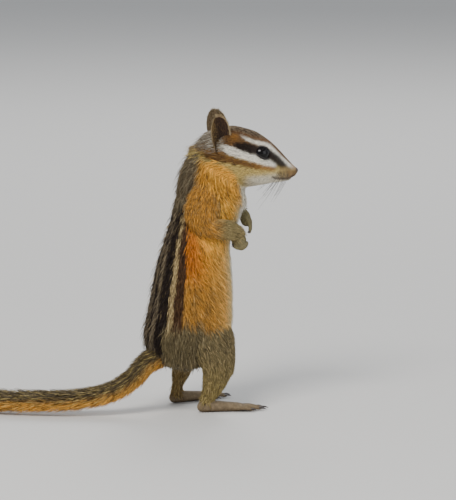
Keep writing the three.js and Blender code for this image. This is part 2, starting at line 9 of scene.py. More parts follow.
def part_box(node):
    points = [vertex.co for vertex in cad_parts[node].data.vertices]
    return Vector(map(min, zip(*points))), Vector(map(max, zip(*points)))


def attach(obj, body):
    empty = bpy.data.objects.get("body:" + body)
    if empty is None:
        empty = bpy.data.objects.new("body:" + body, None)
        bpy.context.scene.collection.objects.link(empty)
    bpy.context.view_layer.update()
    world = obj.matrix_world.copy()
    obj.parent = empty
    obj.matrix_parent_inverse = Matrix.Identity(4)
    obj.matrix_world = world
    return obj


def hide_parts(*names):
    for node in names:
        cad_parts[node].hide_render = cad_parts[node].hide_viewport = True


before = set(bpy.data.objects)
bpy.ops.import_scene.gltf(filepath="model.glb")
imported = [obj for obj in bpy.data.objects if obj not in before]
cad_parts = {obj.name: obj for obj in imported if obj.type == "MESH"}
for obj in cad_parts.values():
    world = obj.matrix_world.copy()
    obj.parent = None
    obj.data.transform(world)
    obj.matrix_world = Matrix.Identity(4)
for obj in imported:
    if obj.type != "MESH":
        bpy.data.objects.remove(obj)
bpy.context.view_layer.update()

# The skin: the whole body in one piece, a little inside the tips of the coat.
# It is modelled in millimetres from the measured sections of trunk, neck, head, limbs and tail.
# SHIFT takes the modelling frame to the row's frame, found from the right eye's place.
rng = np.random.default_rng(41)
UP = np.array([0.0, 0.0, 1.0])


def unit(v):
    v = np.asarray(v, float)
    return v / np.maximum(np.linalg.norm(v, axis=-1, keepdims=True), 1e-12)


def heading(yaw):
    a = math.radians(yaw)
    return np.array([math.cos(a), math.sin(a), 0.0])


def smooth(x, low, high):
    t = np.clip((np.asarray(x, float) - low) / (high - low), 0, 1)
    return t * t * (3 - 2 * t)


def sample(rows, place):
    """The row at a share of the way along a table, on a smooth curve through its rows."""
    rows = np.asarray(rows, float)
    spot = np.clip(place, 0, 1) * (len(rows) - 1)
    i = int(min(math.floor(spot), len(rows) - 2))
    f = spot - i
    row = lambda k: rows[min(max(k, 0), len(rows) - 1)]
    a, b, d, e = row(i - 1), row(i), row(i + 1), row(i + 2)
    m0, m1 = (d - a) / 2, (e - b) / 2
    return ((2 * f**3 - 3 * f**2 + 1) * b + (f**3 - 2 * f**2 + f) * m0
            + (3 * f**2 - 2 * f**3) * d + (f**3 - f**2) * m1)


HEAD_YAW = 6.0
HEAD_ROOT = np.array([1.9, 0.74, 0.0])
HEAD_SIDE = np.array([-math.sin(math.radians(HEAD_YAW)), math.cos(math.radians(HEAD_YAW)), 0.0])


def at_head(reach, left, z):
    """A point of the head: reach toward the nose, left of its middle, level above the floor."""
    p = HEAD_ROOT + heading(HEAD_YAW) * reach + HEAD_SIDE * left
    p[2] = z
    return p


def eye_place(hand):
    """Middle of an eye, the way it looks, and the long and high directions of its opening."""
    center = at_head(20.55, hand * 5.85, 98.35)
    look = unit(heading(HEAD_YAW + hand * 66) * 0.97 + UP * 0.22)
    level = unit(np.cross(UP, look))
    raised = np.cross(look, level)
    tilt = math.radians(EYE_TILT)
    return (center, look, level * math.cos(tilt) + raised * hand * math.sin(tilt),
            raised * math.cos(tilt) - level * hand * math.sin(tilt))


EYE_RADIUS = 3.25
EYE_TILT = 20.0  # the front corner lies lower than the rear one
eye_low, eye_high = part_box("eye_right")
SHIFT = (np.array(eye_low) + np.array(eye_high)) / 2 * 1000 - eye_place(-1)[0]

# Rows of [x, y, z, dorsal, ventral, half width, yaw, pitch].
TRUNK = [
    [-5.2, -3.4, 24, 15.6, 13.6, 14.4, 28, 0],
    [-4.5, -3.2, 29.5, 17.2, 16.0, 15.8, 28, 0],
    [-3.8, -2.8, 35, 17.1, 16.6, 16.0, 28, 0],
    [-3.2, -2.6, 41, 16.4, 16.0, 15.6, 28, 0],
    [-2.6, -2.4, 49, 15.5, 15.3, 14.8, 27, 0],
    [-2.0, -2.1, 57, 14.3, 14.2, 13.6, 26, 0],
    [-0.6, -1.6, 65, 13.2, 12.6, 12.6, 24, 0],
    [2.1, -0.3, 74, 13.3, 13.8, 12.2, 22, 0],
    [4.2, 0.8, 81.5, 13.7, 14.2, 11.8, 20, 4],
]
NECK = [
    [4.4, 0.8, 80, 13.7, 14.0, 11.6, 18, 4],
    [5.4, 0.9, 85.5, 14.2, 13.0, 11.0, 15, 9],
    [7.6, 1.0, 90, 14.6, 13.0, 10.6, 12, 18],
    [10.0, 1.1, 93.5, 14.0, 11.0, 10.2, 8, 32],
]
# Rows of [reach, top, bottom, widest level, half width].
HEAD = np.array([
    [-2.2, 102.4, 91.5, 97.2, 6.2],
    [1.5, 106.2, 88.0, 96.8, 9.4],
    [5.0, 107.9, 85.7, 96.2, 10.8],
    [8.8, 108.8, 84.5, 95.7, 11.3],
    [12.6, 108.6, 84.1, 95.2, 11.2],
    [16.0, 107.7, 84.4, 94.8, 10.6],
    [19.5, 106.4, 84.9, 94.0, 9.5],
    [22.5, 104.5, 85.4, 93.2, 8.1],
    [25.6, 102.0, 86.0, 92.2, 6.5],
    [28.7, 98.8, 86.8, 91.2, 4.9],
    [31.2, 95.9, 87.4, 90.8, 3.8],
    [33.2, 93.7, 88.1, 90.6, 2.8],
    [34.6, 92.3, 89.1, 90.5, 1.5],
])
HEAD_FULL = 0.84
TAIL_PATH = np.array([
    [-12.0, -7.0, 23.5], [-19.2, -10.8, 19.8], [-23.8, -12.6, 15.4], [-29.5, -14.2, 11.2],
    [-37.0, -15.4, 8.2], [-47.0, -15.8, 6.4], [-59.0, -15.0, 5.6], [-71.0, -13.0, 5.2],
    [-82.0, -10.4, 4.6], [-88.0, -8.8, 4.2],
])
TAIL_ACROSS = unit([0.35, -0.9, 0.1])
surfaces = []  # (points, faces, lie of the hair, region, chart, tile of the chart) of each closed form
REGIONS = ["trunk", "head", "arm", "leg", "hand", "foot", "tail", "ear"]


def on_part(region, *names):
    return np.isin(region, [REGIONS.index(name) for name in names])


def ring_faces(rows, sides, first, last):
    """Triangles between rings of points, closed at both ends by a fan to a pole."""
    grid = np.arange(rows * sides).reshape(rows, sides)
    a, b = grid[:-1], grid[1:]
    quads = np.stack([a, np.roll(a, -1, 1), np.roll(b, -1, 1), b], -1).reshape(-1, 4)
    tris = np.concatenate([quads[:, [0, 1, 2]], quads[:, [0, 2, 3]]])
    ring = np.arange(sides)
    nxt = (ring + 1) % sides
    end = (rows - 1) * sides
    caps = np.concatenate([np.stack([np.full(sides, first), nxt, ring], -1),
                           np.stack([np.full(sides, last), end + ring, end + nxt], -1)])
    return np.concatenate([tris, caps])


def outward(points, faces):
    v = points[faces]
    volume = np.einsum("ij,ij->i", v[:, 0], np.cross(v[:, 1], v[:, 2])).sum()
    return faces if volume > 0 else faces[:, ::-1]


def closed_body(rings, pole_a, pole_b):
    """Points and outward faces of a form, from its rings and the two poles that close it."""
    rings = np.array(rings)
    rows, sides = rings.shape[:2]
    points = np.concatenate([rings.reshape(-1, 3), [pole_a, pole_b]])
    return points, outward(points, ring_faces(rows, sides, rows * sides, rows * sides + 1))


def oval_rings(center, front, side, top, radii, turns, sides):
    """Rings of an oval body from its back to its front, at the given turns from its middle."""
    a = np.linspace(0, 2 * np.pi, sides, endpoint=False)[:, None]
    return [center + front * radii[0] * math.sin(b)
            + (np.cos(a) * side * radii[1] + np.sin(a) * top * radii[2]) * math.cos(b) for b in turns]


def add_surface(rings, pole_a, pole_b, region, flow, tile):
    """Keep one closed form. flow is 1 where the hair lies with the rings' order, and -1 against it."""
    rings = np.array(rings)
    rows, sides = rings.shape[:2]
    points, faces = closed_body(rings, pole_a, pole_b)
    step = np.gradient(rings, axis=0) * flow
    ends = [(rings[0].mean(0) - pole_a) * flow, (pole_b - rings[-1].mean(0)) * flow]
    lie = unit(np.concatenate([step.reshape(-1, 3), ends]))
    u = np.repeat(np.linspace(0.03, 0.97, rows), sides)
    v = np.tile(np.linspace(0.03, 0.97, sides), rows)
    chart = np.concatenate([np.stack([u, v], -1), [[0.01, 0.5], [0.99, 0.5]]])
    surfaces.append((points, faces, lie, REGIONS.index(region), chart, tile))


def section_ring(row, sides, grow, full=1.0, shrink=1.0):
    """One section of trunk, neck or head. grow is below 0 by the depth of the coat."""
    x, y, z, dorsal, ventral, wide, yaw, pitch = row
    a = np.linspace(0, 2 * np.pi, sides, endpoint=False)
    front = heading(yaw)
    belly = front * math.cos(math.radians(pitch)) - UP * math.sin(math.radians(pitch))
    side = np.array([-front[1], front[0], 0.0])
    squared = lambda v: np.sign(v) * np.abs(v) ** full
    deep = np.where(np.cos(a) > 0, ventral, dorsal) + grow
    return (np.array([x, y, z]) + np.outer(squared(np.cos(a)) * deep * shrink, belly)
            + np.outer(squared(np.sin(a)) * (wide + grow) * shrink, side))


def loft(rows, sides, steps, grow, domes, region, flow, tile, full=1.0):
    """A form through the sections of a table, with a dome of the given height at each end."""
    rows = np.asarray(rows, float)
    axis = lambda r: (heading(r[6]) * math.sin(math.radians(r[7])) + UP * math.cos(math.radians(r[7])))
    rings = []
    for a in (75, 55, 35, 18):
        rings.append(section_ring(rows[0], sides, grow, full, math.cos(math.radians(a)))
                     - axis(rows[0]) * (domes[0] + grow) * math.sin(math.radians(a)))
    for k in range(steps + 1):
        rings.append(section_ring(sample(rows, k / steps), sides, grow, full))
    for a in (18, 35, 55, 75):
        rings.append(section_ring(rows[-1], sides, grow, full, math.cos(math.radians(a)))
                     + axis(rows[-1]) * (domes[1] + grow) * math.sin(math.radians(a)))
    add_surface(rings, rows[0][:3] - axis(rows[0]) * (domes[0] + grow),
                rows[-1][:3] + axis(rows[-1]) * (domes[1] + grow), region, flow, tile)


def frame_at(rows, place, across):
    here = sample(rows, place)
    along = unit(sample(rows, place + 0.02)[:3] - sample(rows, place - 0.02)[:3])
    wide = unit(across - along * np.dot(across, along))
    return here, along, wide, np.cross(along, wide)


def limb(rows, sides, steps, grow, across, region, tile, sharp=False):
    """A rounded limb, digit or claw along rows of [x, y, z, half width, half depth]."""
    rows = np.asarray(rows, float)
    a = np.linspace(0, 2 * np.pi, sides, endpoint=False)[:, None]
    across = unit(across)

    def ring(place, shrink, shift):
        here, along, wide, deep = frame_at(rows, place, across)
        return (here[:3] + along * shift + np.cos(a) * wide * (here[3] + grow) * shrink
                + np.sin(a) * deep * (here[4] + grow) * shrink)

    def reach(place):
        here = sample(rows, place)
        return (here[3] + here[4]) / 2 + grow

    rings = [ring(0, math.cos(b), -reach(0) * math.sin(b)) for b in (1.2, 0.75, 0.35)]
    rings += [ring(k / steps, 1, 0) for k in range(steps + 1)]
    if not sharp:
        rings += [ring(1, math.cos(b), reach(1) * math.sin(b)) for b in (0.35, 0.75, 1.2)]
    first, last = frame_at(rows, 0, across), frame_at(rows, 1, across)
    add_surface(rings, first[0][:3] - first[1] * reach(0),
                last[0][:3] + last[1] * reach(1) * (1.5 if sharp else 1.0), region, 1, tile)


def pad(center, radii, region, tile, pitch=0.0):
    """A soft oval on the face: whisker pad, chin or end of the muzzle."""
    front = heading(HEAD_YAW) * math.cos(pitch) - UP * math.sin(pitch)
    top = np.cross(front, HEAD_SIDE)
    rings = oval_rings(center, front, HEAD_SIDE, top, radii, np.linspace(-1.35, 1.35, 11), 20)
    add_surface(rings, center - front * radii[0], center + front * radii[0], region, -1, tile)


# Trunk, neck and head, then the pads of the muzzle.
loft(TRUNK, 56, 60, -1.25, (8, 4), "trunk", -1, 0)
loft(NECK, 56, 20, -1.2, (3, 3), "trunk", -1, 1)
head_rows = []
for reach, top, bottom, level, wide in HEAD:
    depth = np.interp(reach, [0, 12, 24, 30, 34], [1.2, 0.9, 0.5, 0.3, 0.15])
    p = at_head(reach, 0, level)
    head_rows.append([p[0], p[1], level, top - level - depth, level - bottom - depth, wide - depth,
                      HEAD_YAW, 90])
loft(head_rows, 64, 70, 0.0, (2.2, 0.6), "head", -1, 2, HEAD_FULL)
for hand in (1, -1):
    pad(at_head(29.6, hand * 2.0, 89.4), (3.5, 2.0, 2.0), "head", 2, 0.2)
pad(at_head(27.9, 0, 87.55), (4.4, 2.2, 1.1), "head", 2, -0.12)
pad(at_head(34.0, 0, 90.9), (1.45, 1.4, 1.2), "head", 2, 0.17)

# Limbs, for the right (-1) and left (1) side: rows of [x, y, z, half width, half depth].
THIGH = {
    -1: [[-1.0, -8.0, 39, 5.0, 7.6], [1.6, -10.0, 33.5, 6.4, 9.8], [4.4, -11.6, 27.5, 6.8, 9.8],
         [6.3, -12.0, 22.0, 6.0, 8.2], [6.9, -11.6, 17.6, 5.2, 7.2]],
    1: [[-11.0, 5.6, 38, 5.0, 7.6], [-9.6, 8.2, 32.5, 6.4, 9.6], [-7.8, 10.6, 26.5, 6.4, 8.6],
        [-6.8, 11.6, 21.0, 5.4, 6.4], [-6.6, 11.4, 16.8, 4.7, 5.4]],
}
SHIN = {
    -1: [[6.7, -11.4, 17.4, 4.8, 6.6], [5.7, -10.6, 12.8, 4.2, 5.5], [4.1, -9.7, 8.2, 3.3, 4.1],
         [2.4, -8.9, 4.8, 2.6, 3.0]],
    1: [[-6.6, 11.3, 16.6, 4.4, 5.1], [-7.2, 10.6, 13.0, 3.8, 4.3], [-8.4, 9.6, 8.6, 2.9, 3.0],
        [-9.2, 8.8, 4.8, 2.5, 2.5]],
}
UPPER_ARM = {
    -1: [[3.4, -7.4, 85.5, 3.2, 5.6], [1.8, -9.6, 81, 4.0, 7.0], [1.2, -10.9, 76, 4.3, 7.4],
         [2.0, -11.6, 72.8, 4.0, 5.6]],
    1: [[-1.6, 9.2, 83, 3.2, 5.4], [-3.2, 10.6, 77.5, 3.8, 6.2], [-3.6, 11.6, 71.4, 3.8, 5.6],
        [-2.4, 12.2, 67.0, 3.4, 4.4]],
}
FOREARM = {
    -1: [[4.2, -12.2, 71.8, 3.3, 4.1], [9.2, -11.8, 70.7, 3.1, 3.9], [13.5, -9.8, 69.2, 2.7, 3.3]],
    1: [[-1.4, 12.4, 67.4, 3.1, 3.6], [4.0, 12.0, 70.5, 2.8, 3.2], [9.4, 10.2, 73.8, 2.4, 2.6],
        [14.2, 7.8, 75.3, 2.1, 2.2]],
}
PALM = {
    -1: [[13.7, -9.2, 68.3, 2.3, 2.9], [14.7, -8.6, 66.3, 2.6, 3.0], [15.1, -8.2, 64.9, 2.6, 2.6]],
    1: [[15.0, 6.9, 75.0, 1.9, 2.2], [16.8, 5.3, 73.4, 2.3, 2.3], [17.5, 4.6, 71.4, 2.4, 2.1]],
}
PALM_ACROSS = {-1: [0.2, 0.95, 0.2], 1: [0.5, 0.85, 0]}
# Curled fingers: the knuckles' middle, the way their row runs, the way they point, and their curl.
CURL = {
    -1: ([16.2, -8.1, 63.7], [0.2, 0.95, 0.2], [-0.93, 0.1, -0.12], [-0.25, 0.05, 0.6]),
    1: ([18.6, 4.3, 71.2], [0.12, 0.98, 0.1], [0.3, -0.1, -0.93], [-0.38, 0, -0.35]),
}
FINGER_SPACING = 1.3
claws = []
for hand in (1, -1):
    limb(THIGH[hand], 28, 30, -1.1, [-0.4, 0.9, 0], "leg", 3)
    limb(SHIN[hand], 24, 24, -0.8, [-0.4, 0.9, 0], "leg", 3)
    limb(UPPER_ARM[hand], 26, 24, -0.8, [0.3, -0.9, 0.2], "arm", 4)
    limb(FOREARM[hand], 22, 20, -0.5, [0.3, -0.9, 0.2], "arm", 4)
    limb(PALM[hand], 20, 12, -0.1, PALM_ACROSS[hand], "hand", 5)
    knuckle, row, out, under = (np.array(v, float) for v in CURL[hand])
    row = unit(row)
    for k in range(4):
        long = [3.4, 4.0, 3.9, 3.2][k]
        far = lambda t, deep: knuckle + row * (k - 1.5) * FINGER_SPACING + out * long * t + under * deep
        finger = [[*far(-0.45, 0.9), 0.60, 0.8], [*far(-0.08, -0.3), 0.64, 0.8],
                  [*far(0.3, -0.3), 0.58, 0.7], [*far(0.66, 0.4), 0.55, 0.6],
                  [*far(0.86, 1.5), 0.52, 0.52]]
        limb(finger, 12, 16, 0.0, row, "hand", 5)
        claws.append([[*far(0.84, 1.4), 0.40, 0.40], [*far(0.86, 2.4), 0.30, 0.36],
                      [*far(0.74, 3.2), 0.07, 0.08]])
    heel = np.array([0.2, -9.7, 0.0]) if hand < 0 else np.array([-10.6, 8.2, 0.0])
    ahead = heading(14 if hand < 0 else 34)
    left = np.array([-ahead[1], ahead[0], 0.0])
    spot = lambda along, aside, z: np.append((heel + ahead * along + left * aside)[:2], z)
    limb([[*spot(0.6, 0, 2.2), 2.0, 2.2], [*spot(5, 0, 2.2), 2.2, 2.3], [*spot(10, 0, 1.9), 2.6, 2.0],
          [*spot(14.6, 0, 1.6), 3.1, 1.7]], 20, 20, -0.1, left, "foot", 6)
    limb([[*spot(2.0, 0, 5.4), 2.1, 2.3], [*spot(3.0, 0, 3.2), 2.3, 2.5], [*spot(5.4, 0, 2.2), 2.2, 2.2]],
         18, 10, -0.2, left, "foot", 6)
    for aside, start, length, splay in ((-2.5, 14.0, 4.8, -16), (-1.35, 15.2, 7.0, -7), (0, 15.4, 7.9, 0),
                                        (1.35, 15.2, 7.1, 8), (2.5, 11.6, 5.2, 20)):
        spread = math.sin(math.radians(splay))
        far = lambda t, z: spot(start + length * t, -hand * (aside + spread * length * t), z)
        limb([[*far(-0.2, 1.5), 0.85, 0.95], [*far(0.3, 1.6), 0.78, 0.92], [*far(0.65, 1.45), 0.70, 0.82],
              [*far(1, 0.95), 0.66, 0.66]], 12, 16, 0.0, left, "foot", 6)
        claws.append([[*far(1, 1.1), 0.45, 0.45], [*far(1.22, 1.1), 0.33, 0.38],
                      [*far(1.42, 0.6), 0.08, 0.09]])
# The core of the tail, thin under its long hair.
tail_radius = [4.0, 3.1, 2.6, 2.2, 1.9, 1.8, 1.7, 1.6, 1.3, 0.8]
limb([[*p, r * 1.1, r] for p, r in zip(TAIL_PATH, tail_radius)], 24, 90, 0.0, TAIL_ACROSS, "tail", 7)


def raw_mesh(name, points, faces):
    mesh = bpy.data.meshes.new(name)
    faces = np.asarray(faces)
    mesh.vertices.add(len(points))
    mesh.vertices.foreach_set("co", np.asarray(points, np.float32).ravel())
    mesh.loops.add(faces.size)
    mesh.loops.foreach_set("vertex_index", faces.astype(np.int32).ravel())
    mesh.polygons.add(len(faces))
    sides = faces.shape[1]
    mesh.polygons.foreach_set("loop_start", np.arange(0, faces.size, sides, dtype=np.int32))
    mesh.update(calc_edges=True)
    return mesh


def read(mesh):
    points = np.zeros(len(mesh.vertices) * 3, np.float32)
    mesh.vertices.foreach_get("co", points)
    mesh.calc_loop_triangles()
    faces = np.zeros(len(mesh.loop_triangles) * 3, np.int32)
    mesh.loop_triangles.foreach_get("vertices", faces)
    return points.reshape(-1, 3).astype(float), faces.reshape(-1, 3)


def put_in_scene(name, data):
    thing = bpy.data.objects.new(name, data)
    bpy.context.scene.collection.objects.link(thing)
    return thing


def settle(thing):
    """The plain mesh of an object with its modifiers applied. The object itself is removed."""
    mesh = bpy.data.meshes.new_from_object(thing.evaluated_get(bpy.context.evaluated_depsgraph_get()))
    bpy.data.objects.remove(thing)
    return mesh


def joined(forms):
    """Points and faces of several closed forms as one."""
    starts = np.cumsum([0] + [len(form[0]) for form in forms])
    return (np.concatenate([form[0] for form in forms]),
            np.concatenate([form[1] + start for form, start in zip(forms, starts)]))


def triangle_areas(points, faces):
    v = points[faces]
    return np.linalg.norm(np.cross(v[:, 1] - v[:, 0], v[:, 2] - v[:, 0]), axis=1) / 2


def normals_of(points, faces):
    v = points[faces]
    face = np.cross(v[:, 1] - v[:, 0], v[:, 2] - v[:, 0])
    total = np.zeros_like(points)
    for k in range(3):
        for c in range(3):
            total[:, c] += np.bincount(faces[:, k], face[:, c], len(points))
    return unit(total)


# All forms are fused into one closed skin, and smoothed where they meet.
VOXEL, QUICK_VOXEL = 0.38, 0.8
source = put_in_scene("fused", raw_mesh("fused", *joined(surfaces)))
fuse = source.modifiers.new("fuse", "REMESH")
fuse.mode = "VOXEL"
fuse.voxel_size = VOXEL
skin_points, skin_faces = read(settle(source))

tree = KDTree(sum(len(s[0]) for s in surfaces))
tags = []
for points, faces, lie, region, chart, tile in surfaces:
    for k, p in enumerate(points):
        tree.insert(p, len(tags) + k)
    tags += [(*lie[k], region, *chart[k], tile) for k in range(len(points))]
tree.balance()
tags = np.array(tags)

edges = np.unique(np.sort(np.concatenate([skin_faces[:, [0, 1]], skin_faces[:, [1, 2]],
                                          skin_faces[:, [2, 0]]]), 1), axis=0)
degree = np.bincount(edges.ravel(), minlength=len(skin_points))[:, None]


def spread(values):
    """The average of each point's neighbours on the skin."""
    out = np.zeros_like(values)
    for c in range(values.shape[1]):
        out[:, c] = (np.bincount(edges[:, 0], values[edges[:, 1], c], len(values))
                     + np.bincount(edges[:, 1], values[edges[:, 0], c], len(values)))
    return out / np.maximum(degree, 1)


# Each point of the skin takes its region, lie and chart place from the nearest form.
nearest = np.array([tree.find(p)[1] for p in skin_points])
skin_region = tags[nearest, 3].astype(int)
skin_chart = tags[nearest, 4:7]
skin_lie = tags[nearest, :3]
soft = on_part(skin_region, "trunk", "arm", "leg")[:, None].astype(float)
fine = on_part(skin_region, "hand", "foot")[:, None].astype(float)
for k in range(3):
    soft = spread(soft)
for k in range(14):
    rate = (0.6 if k < 4 else 0.0) * (1 - soft) * (1 - 0.6 * fine) + 0.75 * soft
    skin_points = skin_points + rate * (spread(skin_points) - skin_points)


def trunk_turn(points):
    """Forward and left shares on the trunk, and the angle from the spine, 0 to 180 degrees."""
    rows = np.array(TRUNK)
    z = points[:, 2]
    cx, cy = np.interp(z, rows[:, 2], rows[:, 0]), np.interp(z, rows[:, 2], rows[:, 1])
    yaw = np.radians(np.interp(z, rows[:, 2], rows[:, 6]) + SPINE_TURN)
    rx, ry = points[:, 0] - cx, points[:, 1] - cy
    front = rx * np.cos(yaw) + ry * np.sin(yaw)
    left = -rx * np.sin(yaw) + ry * np.cos(yaw)
    return front, left, np.degrees(np.arctan2(np.abs(left), -front)), yaw


# On the flanks the hair also runs round toward the belly.
SPINE_TURN = 0.0
_, left, angle, yaw = trunk_turn(skin_points)
a = np.radians(angle)
around = np.stack([np.cos(yaw) * np.sin(a) - np.sin(yaw) * np.sign(left) * np.cos(a),
                   np.sin(yaw) * np.sin(a) + np.cos(yaw) * np.sign(left) * np.cos(a), 0 * a], -1)
sweep = 0.55 * smooth(angle, 42, 66) * (1 - smooth(angle, 120, 160)) * smooth(skin_points[:, 2], 28, 38)
sweep *= on_part(skin_region, "trunk")
skin_lie = unit(skin_lie + around * sweep[:, None])
for k in range(10):
    skin_lie = unit(skin_lie + spread(skin_lie))


def head_spot(points):
    rel = points - HEAD_ROOT
    return rel @ heading(HEAD_YAW), rel @ HEAD_SIDE, points[:, 2]


# The socket behind each eye, the line of the mouth and the lips are pressed into the skin.
skin_normals = normals_of(skin_points, skin_faces)
HALF_LONG, HALF_HIGH = 3.25, 2.1
SOCKET_DEPTH, LID_HEIGHT = 0.7, 0.35


def eye_oval(points, hand, longer=0.0, higher=0.0):
    """Squared place in the oval of an eye's opening, how far in front of the eye, and distance."""
    center, look, across, raised = eye_place(hand)
    rel = points - center
    oval = ((rel @ across) / (HALF_LONG + longer)) ** 2 + ((rel @ raised) / (HALF_HIGH + higher)) ** 2
    return oval, rel @ look, np.linalg.norm(rel, axis=1)


for hand in (1, -1):
    center = eye_place(hand)[0]
    rel = skin_points - center
    oval, out, far = eye_oval(skin_points, hand)
    inside = (out > 0) & (oval < 1.0) & (far < 6)
    skin_points[inside] = center + unit(rel[inside]) * (EYE_RADIUS - SOCKET_DEPTH)
    rim = (out > -0.5) & (oval >= 1.0) & (far < EYE_RADIUS + LID_HEIGHT)
    skin_points[rim] = center + unit(rel[rim]) * (EYE_RADIUS + LID_HEIGHT)
MOUTH_WIDTH, MOUTH_DEPTH, LIP_HEIGHT = 0.32, 0.5, 0.14
MOUTH = np.array([[25.2, 89.2], [26.6, 88.6], [28.4, 88.2], [30.4, 88.15], [32.2, 88.5], [33.4, 89.0]])


def near_line(reach, level, line):
    """Distance from a line of the face, and the share of the way along it."""
    best = np.full(len(reach), 1e9)
    place = np.zeros(len(reach))
    for k in range(len(line) - 1):
        a, b = np.array(line[k][:2], float), np.array(line[k + 1][:2], float)
        d = b - a
        t = np.clip(((reach - a[0]) * d[0] + (level - a[1]) * d[1]) / d.dot(d), 0, 1)
        away = np.hypot(reach - a[0] - t * d[0], level - a[1] - t * d[1])
        place = np.where(away < best, (k + t) / (len(line) - 1), place)
        best = np.minimum(best, away)
    return best, place


reach, left, level = head_spot(skin_points)
away, _ = near_line(reach, level, MOUTH)
lip = on_part(skin_region, "head")[:, None]
skin_points -= skin_normals * lip * (MOUTH_DEPTH * np.exp(-(away / MOUTH_WIDTH) ** 2))[:, None]
skin_points += skin_normals * lip * (LIP_HEIGHT * np.exp(-((away - 0.75) / 0.35) ** 2))[:, None]
skin_points[:, 2] = np.maximum(skin_points[:, 2], 0.03)
skin_normals = normals_of(skin_points, skin_faces)


# The markings: dark and pale stripes on back and face, orange flanks, grey rump and white belly.
# Skin and coat take their colours from the functions that follow.
def tint(r, g, b):
    c = np.array([r, g, b], float) / 255
    return np.where(c <= 0.04045, c / 12.92, ((c + 0.055) / 1.055) ** 2.4)


def mix(a, b, t):
    t = np.asarray(t)[..., None] if np.ndim(t) else t
    return a + (b - a) * t


ORANGE, BRIGHT = tint(242, 168, 56), tint(252, 190, 76)
CREAM, WHITE, BUFF = tint(206, 180, 128), tint(240, 235, 220), tint(196, 172, 104)
BLACK, DARK, BROWN = tint(40, 29, 22), tint(70, 49, 33), tint(126, 84, 42)
GREY, GRIZZLE = tint(150, 136, 110), tint(112, 102, 72)
RUMP = mix(mix(mix(GRIZZLE, GREY, 0.25), DARK, 0.26), mix(GRIZZLE, BUFF, 0.35), 0.18)
# Bands of the back: degrees from the spine where each starts and ends, and its colour.
BACK_BANDS = ((4.0, 11.5, mix(GREY, DARK, 0.35)), (11.5, 30.0, BLACK), (30.0, 37.5, CREAM),
              (37.5, 51, mix(DARK, BROWN, 0.2)))
BAND_BLUR = 0.9
# Lines of the face: rows of [reach, level, half width].
WHITE_UPPER = [[13.2, 105.3, 0.2], [15.6, 103.9, 0.6], [19.8, 102.4, 0.6], [22.3, 101.9, 0.5],
               [24.3, 100.7, 0.8], [26.2, 98.5, 1.25], [29.2, 95.3, 1.2], [31.4, 93.3, 1.1],
               [33.0, 92.3, 0.8]]
EYE_LINE_REAR = [[19.4, 99.6, 1.6], [16.6, 100.4, 1.9], [14.2, 101.1, 1.7], [10.8, 102.2, 0.9]]
EYE_LINE_FRONT = [[23.2, 98.5, 1.6], [26.6, 95.9, 1.65], [28.8, 93.7, 1.5], [31.6, 91.3, 1.0]]
WHITE_LOWER = [[5.4, 101.6, 0.9], [7.5, 100.6, 1.4], [9.4, 99.8, 1.6], [14.2, 98.2, 1.45],
               [19.1, 96.5, 1.35], [22.1, 95.5, 1.4], [26.0, 94.0, 0.9]]
CHEEK_LINE = [[0.6, 98.2, 1.3], [4.6, 97.5, 1.5], [9.3, 96.4, 1.3], [14.1, 95.3, 1.2], [19.0, 93.8, 1.1],
              [25.4, 92.5, 0.9]]
CROWN_EDGE = np.array([[9.0, 106.0], [11.3, 105.8], [14.1, 105.2], [16.9, 104.1], [20.4, 103.1],
                       [23.4, 102.4], [25.4, 100.5], [29.3, 96.4], [33.0, 93.0]])
LINE_BLUR = 0.4


def flank_colour(z, turn, angle, patches):
    """Orange side: mottled with olive below, reddish by the dark band, brighter at the shoulder."""
    olive = mix(mix(GRIZZLE, ORANGE, 0.38), DARK, 0.15)
    mottled = (0.38 + 0.6 * patches) * (1 - smooth(z, 44, 60)) * (1 - smooth(turn, 88, 118))
    reddish = smooth(z, 46, 58) * (1 - smooth(turn, 60, 92)) * 0.75
    bright = smooth(z, 56, 70) * smooth(angle, 62, 90) * 0.85
    dull = smooth(z, 64, 76) * (1 - smooth(angle, 60, 84)) * 0.7
    flank = mix(ORANGE, tint(238, 186, 98), smooth(turn, 80, 118) * 0.8)
    flank = mix(flank, olive, mottled)
    flank = mix(flank, tint(198, 104, 32), reddish)
    flank = mix(flank, BRIGHT, bright)
    return mix(flank, mix(GRIZZLE, ORANGE, 0.6), dull)


def banded_back(body, z, angle):
    """The bands of the back, fading out over the rump and toward the nape."""
    bands = BLACK + 0 * body
    for low, high, colour in (*BACK_BANDS, (51, 300, body)):
        inside = (smooth(angle, low - BAND_BLUR, low + BAND_BLUR)
                  * (1 - smooth(angle, high - BAND_BLUR, high + BAND_BLUR)))
        bands = mix(bands, colour, inside)
    fade = np.where(angle < 25, smooth(z, 14, 26), smooth(z, 30, 36))
    strength = fade * (1 - smooth(z, 74, 83))
    unbanded = mix(mix(mix(GRIZZLE, GREY, 0.45), RUMP, 1 - smooth(z, 32, 36)), body, smooth(angle, 44, 62))
    return mix(unbanded, bands, strength)


